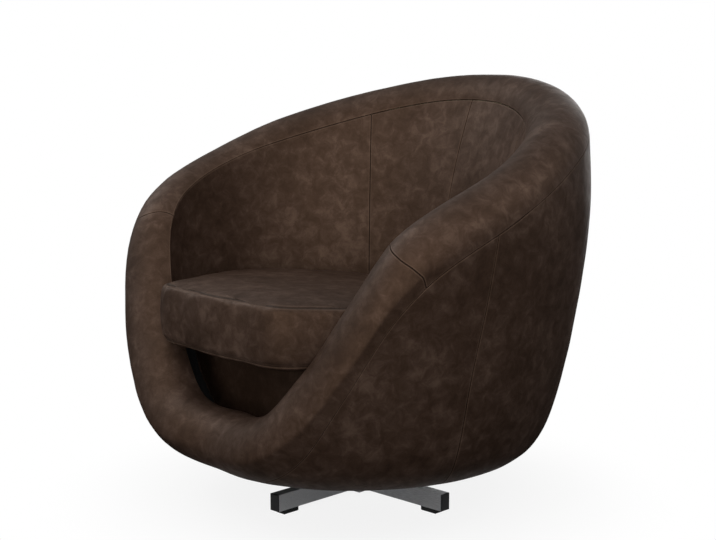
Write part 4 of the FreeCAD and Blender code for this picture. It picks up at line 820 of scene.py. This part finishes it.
# Beside a stitched line the case gathers, and is pinched: how far, and over what distance
CUSHION_PUCKER, CUSHION_PUCKER_FADE, CUSHION_PUCKERS = PUCKER * 1.5, .014, 60
PINCH, PINCH_WIDTH = .0012, .005
# The rolled strip under the lower line: how far it stands out, how far below the line, and its width
STRIP, STRIP_BELOW, STRIP_WIDTH = .0022, .0045, .0028
# The seams act within this distance, on points beyond this share of the way to the outline
SEAM_BAND = .03
BORDER_SHARE = .9


def cushion_reach(turn):
    """From the cushion's middle to its outline at a plan angle."""
    share = smooth(CUSHION_STATIONS, CUSHION_REACH, folded(turn))
    return plan(turn, share * CUSHION_HALF, 0) - CUSHION_MIDDLE


def sloped(spot):
    """A point of the case or its filling, lowered towards the back."""
    drop = CASE_SLOPE * max(spot.y + SLOPE_FRONT, 0)
    return Vector((spot.x, spot.y, spot.z - max(spot.z - LOW_SEAM, 0) * drop))


def cushion_profile():
    """(height, share of the outline, bulge) from the middle of the underside to the middle of the crown."""
    rows = [(LOW_SEAM - CUSHION_SAG, share, 0) for share in (0, .12, .24, .36, .48, .6, .72)]
    for k in range(7):
        part = k / 6
        rows.append((LOW_SEAM - CUSHION_SAG * (1 - part ** 5), .84 + .16 * part, 0))
    for k in range(1, 13):
        part = k / 12
        rows.append((LOW_SEAM + (HIGH_SEAM - LOW_SEAM) * part, 1, CUSHION_BULGE * math.sin(math.pi * part)))
    for share in (.985, .96, .92, .86, .78, .68, .56, .44, .32, .2, .1, 0):
        rows.append((HIGH_SEAM + CUSHION_CROWN * (1 - share ** 2.2) ** .75, share, 0))
    return rows


def cushion_form():
    """The closed case before it swells, a little slack."""
    profile = cushion_profile()
    steps = 120
    bm, spots = sheet_grid(steps + 1, len(profile))
    for vertex, i, j in spots:
        height, share, bulge = profile[j]
        spoke = cushion_reach(360 * (i % steps) / steps)
        lift = SLACK if height < LOW_SEAM + .001 else -SLACK if height > HIGH_SEAM - .001 else 0
        vertex.co = (CUSHION_MIDDLE + spoke * share + spoke.normalized() * (bulge - SLACK) * share
                     + Vector((0, 0, height + lift)))
    bmesh.ops.remove_doubles(bm, verts=bm.verts[:], dist=.0002)
    bmesh.ops.recalc_face_normals(bm, faces=bm.faces[:])
    return bm


def evaluated(thing):
    """A copy of the object's mesh with its modifiers worked out."""
    graph = bpy.context.evaluated_depsgraph_get()
    return bpy.data.meshes.new_from_object(thing.evaluated_get(graph))


def swell(work):
    """Moves an object's points as a short run of cloth under pressure does, none beyond SWELL_CAP."""
    scene = bpy.context.scene
    cloth = work.modifiers.new("swell", "CLOTH")
    for name, value in SWELL_SETTINGS.items():
        setattr(cloth.settings, name, value)
    cloth.settings.effector_weights.gravity = 0
    cloth.point_cache.frame_start = 1
    cloth.point_cache.frame_end = SWELL_FRAMES
    for step in range(1, SWELL_FRAMES + 1):
        scene.frame_set(step)
    result = evaluated(work)
    work.modifiers.clear()
    for vertex, moved in zip(work.data.vertices, result.vertices):
        move = moved.co - vertex.co
        if move.length > SWELL_CAP:
            move = move.normalized() * SWELL_CAP
        vertex.co = vertex.co + move
    scene.frame_set(1)


def swollen(bm):
    """The case after a voxel remesh and a short run of cloth under pressure, as a new bmesh."""
    mesh = bpy.data.meshes.new("case_work")
    bm.to_mesh(mesh)
    bm.free()
    work = bpy.data.objects.new("case_work", mesh)
    bpy.context.scene.collection.objects.link(work)
    remesh = work.modifiers.new("even", "REMESH")
    remesh.mode = "VOXEL"
    remesh.voxel_size = VOXEL
    even = evaluated(work)
    work.modifiers.clear()
    work.data = even
    swell(work)
    finer = work.modifiers.new("finer", "SUBSURF")
    finer.levels = finer.render_levels = 1
    fine = evaluated(work)
    bpy.data.objects.remove(work)
    result = bmesh.new()
    result.from_mesh(fine)
    return result


def cushion():
    """The cushion's case: its crown, border and underside in one hide, stitched along two lines."""
    bm = swollen(cushion_form())
    for line in (LOW_LINE, HIGH_LINE):
        for cut in {*CUTS, *(-cut for cut in CUTS)}:
            bmesh.ops.bisect_plane(bm, geom=bm.verts[:] + bm.edges[:] + bm.faces[:], dist=.00002,
                                   plane_co=(0, 0, line + cut), plane_no=(0, 0, 1))
    near_seam = bm.verts.layers.float.new("seam")
    for vertex in bm.verts:
        spoke = vertex.co - CUSHION_MIDDLE
        spoke.z = 0
        angle = math.atan2(spoke.x, -spoke.y)
        share = spoke.length / max(cushion_reach(math.degrees(angle)).length, .01)
        distance = NO_SEAM
        if share > BORDER_SHARE:
            distance = min(abs(vertex.co.z - LOW_LINE), abs(vertex.co.z - HIGH_LINE))
        vertex[near_seam] = distance * MILLIMETRES
        if distance < SEAM_BAND:
            gather = CUSHION_PUCKER * abs(
                puckers(distance, angle * CUSHION_HALF, 5, CUSHION_PUCKER_FADE, CUSHION_PUCKERS))
            pinch = PINCH * math.exp(-(distance / PINCH_WIDTH) ** 2)
            below = LOW_LINE - vertex.co.z
            strip = STRIP * math.exp(-((below - STRIP_BELOW) / STRIP_WIDTH) ** 2) if below > 0 else 0
            vertex.co -= spoke.normalized() * (gather + pinch - strip + seam_drop(distance, NO_SEAM))
    for vertex in bm.verts:
        vertex.co = sloped(vertex.co)
    case = piece("leather_cushion_case", bm, LEATHER_FINISH, "cushion", "brown_leather",
                 "cushion_top_panel", "cushion_border", "cushion_bottom_panel")


cushion()


# Cloths and felt

def level_outline(front, inset, height):
    """Reach of a level sheet at a plan angle: straight in front and inside the wall elsewhere."""
    corner = wall_turn(front, height)

    def reach(turn):
        if abs(turn) <= corner:
            return front / math.cos(math.radians(turn))
        return wall_reach(turn, height) - inset
    return reach


def level_sheet(name, node, reach, height, thickness, sag, finish, slot):
    """A level sheet of cloth or felt that sags a little in its middle."""
    turns, rings = 96, 24
    bm, spots = sheet_grid(turns + 1, rings + 1)
    for vertex, i, j in spots:
        turn = 360 * (i % turns) / turns - 180
        share = j / rings
        vertex.co = plan(turn, reach(turn) * share, height - sag * (1 - share ** 2) ** 2)
    bmesh.ops.remove_doubles(bm, verts=bm.verts[:], dist=.00005)
    bm.normal_update()
    if sum(face.normal.z for face in bm.faces) < 0:
        bmesh.ops.reverse_faces(bm, faces=bm.faces[:])
    made = piece(name, bm, finish, "tub", slot, node)
    thicken(made, thickness)
    return made


# The deck's cloth: its front edge, its distance from the wall, the height at which that is taken, its
# thickness and its sag
DECK_FRONT, DECK_INSET, DECK_EDGE = .2025, .002, .289
DECK_SHEET, DECK_SAG = .0012, .0015
# The dust cover under the tub: its reach as a share of the wall's, its height, thickness and sag
DUST_SHARE, DUST_HEIGHT = .43, .0740
DUST_SHEET, DUST_SAG = .0009, .0006

deck = level_sheet("deck_cloth", "seat_deck_cloth", level_outline(DECK_FRONT, DECK_INSET, DECK_EDGE),
                   DECK_HEIGHT, DECK_SHEET, DECK_SAG, CLOTH_FINISH, "black_cloth")
dust = level_sheet("dust_cloth", "dust_cover", lambda turn: section(turn).wall * DUST_SHARE,
                   DUST_HEIGHT, DUST_SHEET, DUST_SAG, CLOTH_FINISH, "black_cloth")

# Fillings under the hides: name, body, finish, slot, fullness, and how far the hide presses them in
FILLINGS = {
    "outer_wadding": ("wall_wadding", "tub", FOAM_FINISH, "seat_foam", .5, .0010),
    "inner_wall_foam": ("wall_foam", "tub", FOAM_FINISH, "seat_foam", .8, .0012),
    "rim_foam_upper": ("roll_foam_upper", "tub", FOAM_FINISH, "seat_foam", .9, .0015),
    "rim_foam_front": ("roll_foam_front", "tub", FOAM_FINISH, "seat_foam", .9, .0015),
    "cushion_foam": ("cushion_filling", "cushion", FOAM_FINISH, "seat_foam", .9, .0150),
    "seat_deck_pad": ("deck_felt", "tub", FELT_FINISH, "felt", .4, .0002),
    "well_lining": ("well_felt", "tub", FELT_FINISH, "felt", .4, .0002),
}
for node_name, (name, body, finish, slot, fill, pressed) in FILLINGS.items():
    bm = bmesh.new()
    bm.from_mesh(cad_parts[node_name].data)
    bmesh.ops.remove_doubles(bm, verts=bm.verts[:], dist=.00002)
    bm.normal_update()
    for vertex in bm.verts:
        vertex.co -= vertex.normal * pressed
        if node_name == "cushion_foam":
            # The filling keeps under the case's lower crown, and slopes with it
            over = vertex.co.z - HIGH_SEAM
            if over > 0:
                vertex.co.z = HIGH_SEAM + over * CUSHION_CROWN / FILLING_CROWN - pressed / 2
            vertex.co = sloped(vertex.co)
    pad = piece(name, bm, finish, body, slot, node_name)


# Floor, light and camera

WHITE = (1, 1, 1, 1)


def rays(tree):
    """1 for rays from the camera or through glass, and 1 for reflections; other rays have neither."""
    path = add_node(tree, "ShaderNodeLightPath")
    seen = add_node(tree, "ShaderNodeMath", {"operation": "MAXIMUM"},
                    {0: path.outputs["Is Camera Ray"], 1: path.outputs["Is Transmission Ray"]})
    return seen.outputs[0], path.outputs["Is Glossy Ray"]


def lay_floor():
    """A floor that the camera sees white, a little greyer under the chair.

    Reflections see it pale under the tub only, and the light it throws on the chair is that of a dark floor.
    """
    bm = bmesh.new()
    bmesh.ops.create_grid(bm, x_segments=1, y_segments=1, size=12)
    mesh = bpy.data.meshes.new("floor")
    bm.to_mesh(mesh)
    bm.free()
    floor = bpy.data.objects.new("floor", mesh)
    bpy.context.scene.collection.objects.link(floor)
    finish = bpy.data.materials.new("matt_white_floor")
    finish.use_nodes = True
    tree = finish.node_tree
    tree.nodes.clear()
    seen, mirrored = rays(tree)
    place = add_node(tree, "ShaderNodeTexCoord").outputs["Object"]
    away = add_node(tree, "ShaderNodeVectorMath", {"operation": "LENGTH"}, {0: place}).outputs["Value"]
    under = add_node(tree, "ShaderNodeMath", {"operation": "MULTIPLY"},
                     {0: mirrored, 1: scaled(tree, away, .27, .36, 1, 0)}).outputs[0]
    pale = add_node(tree, "ShaderNodeMath", {"operation": "MAXIMUM"}, {0: seen, 1: under}).outputs[0]
    matt = add_node(tree, "ShaderNodeBsdfDiffuse", links={
        "Color": blend_colour(tree, "MIX", pale, hex_colour("#3C3C3C"), hex_colour("#F4F4F4"))})
    glow = add_node(tree, "ShaderNodeEmission", links={"Color": WHITE, "Strength": 1})
    white = scaled(tree, away, .22, .60, .86, 1)
    share = add_node(tree, "ShaderNodeMath", {"operation": "MULTIPLY"}, {0: seen, 1: white})
    both = add_node(tree, "ShaderNodeMixShader", links={
        0: share.outputs[0], 1: matt.outputs[0], 2: glow.outputs[0]})
    add_node(tree, "ShaderNodeOutputMaterial", links={"Surface": both.outputs[0]})
    mesh.materials.append(finish)


def light_world():
    """White behind the chair, nearly dark for its light, and between the two in reflections."""
    world = bpy.data.worlds.new("studio")
    bpy.context.scene.world = world
    world.use_nodes = True
    tree = world.node_tree
    tree.nodes.clear()
    seen, mirrored = rays(tree)
    dim = scaled(tree, mirrored, 0, 1, .04, .30)
    strength = add_node(tree, "ShaderNodeMath", {"operation": "MAXIMUM"}, {0: seen, 1: dim}).outputs[0]
    glow = add_node(tree, "ShaderNodeBackground", links={"Color": WHITE, "Strength": strength})
    add_node(tree, "ShaderNodeOutputWorld", links={"Surface": glow.outputs[0]})


# Soft boxes round the chair: degrees from its front towards +X, degrees up, and watts
SOFT_BOXES = ((50, 8, 28), (10, 8, 27), (110, 40, 22), (-70, 40, 19), (10, 40, 12),
              (-30, 40, 10), (50, 40, 10), (110, 8, 3), (0, 88, 11), (-150, 8, 34))
BOX_DISTANCE = 3.2
BOX_SIZE = 2
AIM = Vector((0, 0, .4))


def soft_boxes():
    """Round lamps on a sphere about the chair, all turned to its middle."""
    for turn, lift, watts in SOFT_BOXES:
        light = bpy.data.lights.new("soft_box", "AREA")
        light.shape = "DISK"
        light.size = BOX_SIZE
        light.energy = watts
        lift = math.radians(lift)
        made = bpy.data.objects.new("soft_box", light)
        made.location = AIM + plan(turn, BOX_DISTANCE * math.cos(lift), BOX_DISTANCE * math.sin(lift))
        made.rotation_euler = (AIM - made.location).to_track_quat("-Z", "Y").to_euler()
        bpy.context.scene.collection.objects.link(made)


# The photo's camera, as fitted to the chair's outline and seams; sensor and lens in millimetres
CAMERA_PLACE = (1.889, -1.650, .781)
CAMERA_TURN = math.radians(48.9)
CAMERA_DIP = math.radians(8.39)
SENSOR, LENS = 36, 70.4


def camera():
    data = bpy.data.cameras.new("camera")
    data.sensor_width = SENSOR
    data.lens = LENS
    made = bpy.data.objects.new("camera", data)
    made.location = CAMERA_PLACE
    made.rotation_euler = (math.pi / 2 - CAMERA_DIP, 0, CAMERA_TURN)
    bpy.context.scene.collection.objects.link(made)
    bpy.context.scene.camera = made


bpy.context.scene.view_settings.view_transform = "Standard"
lay_floor()
light_world()
soft_boxes()
camera()
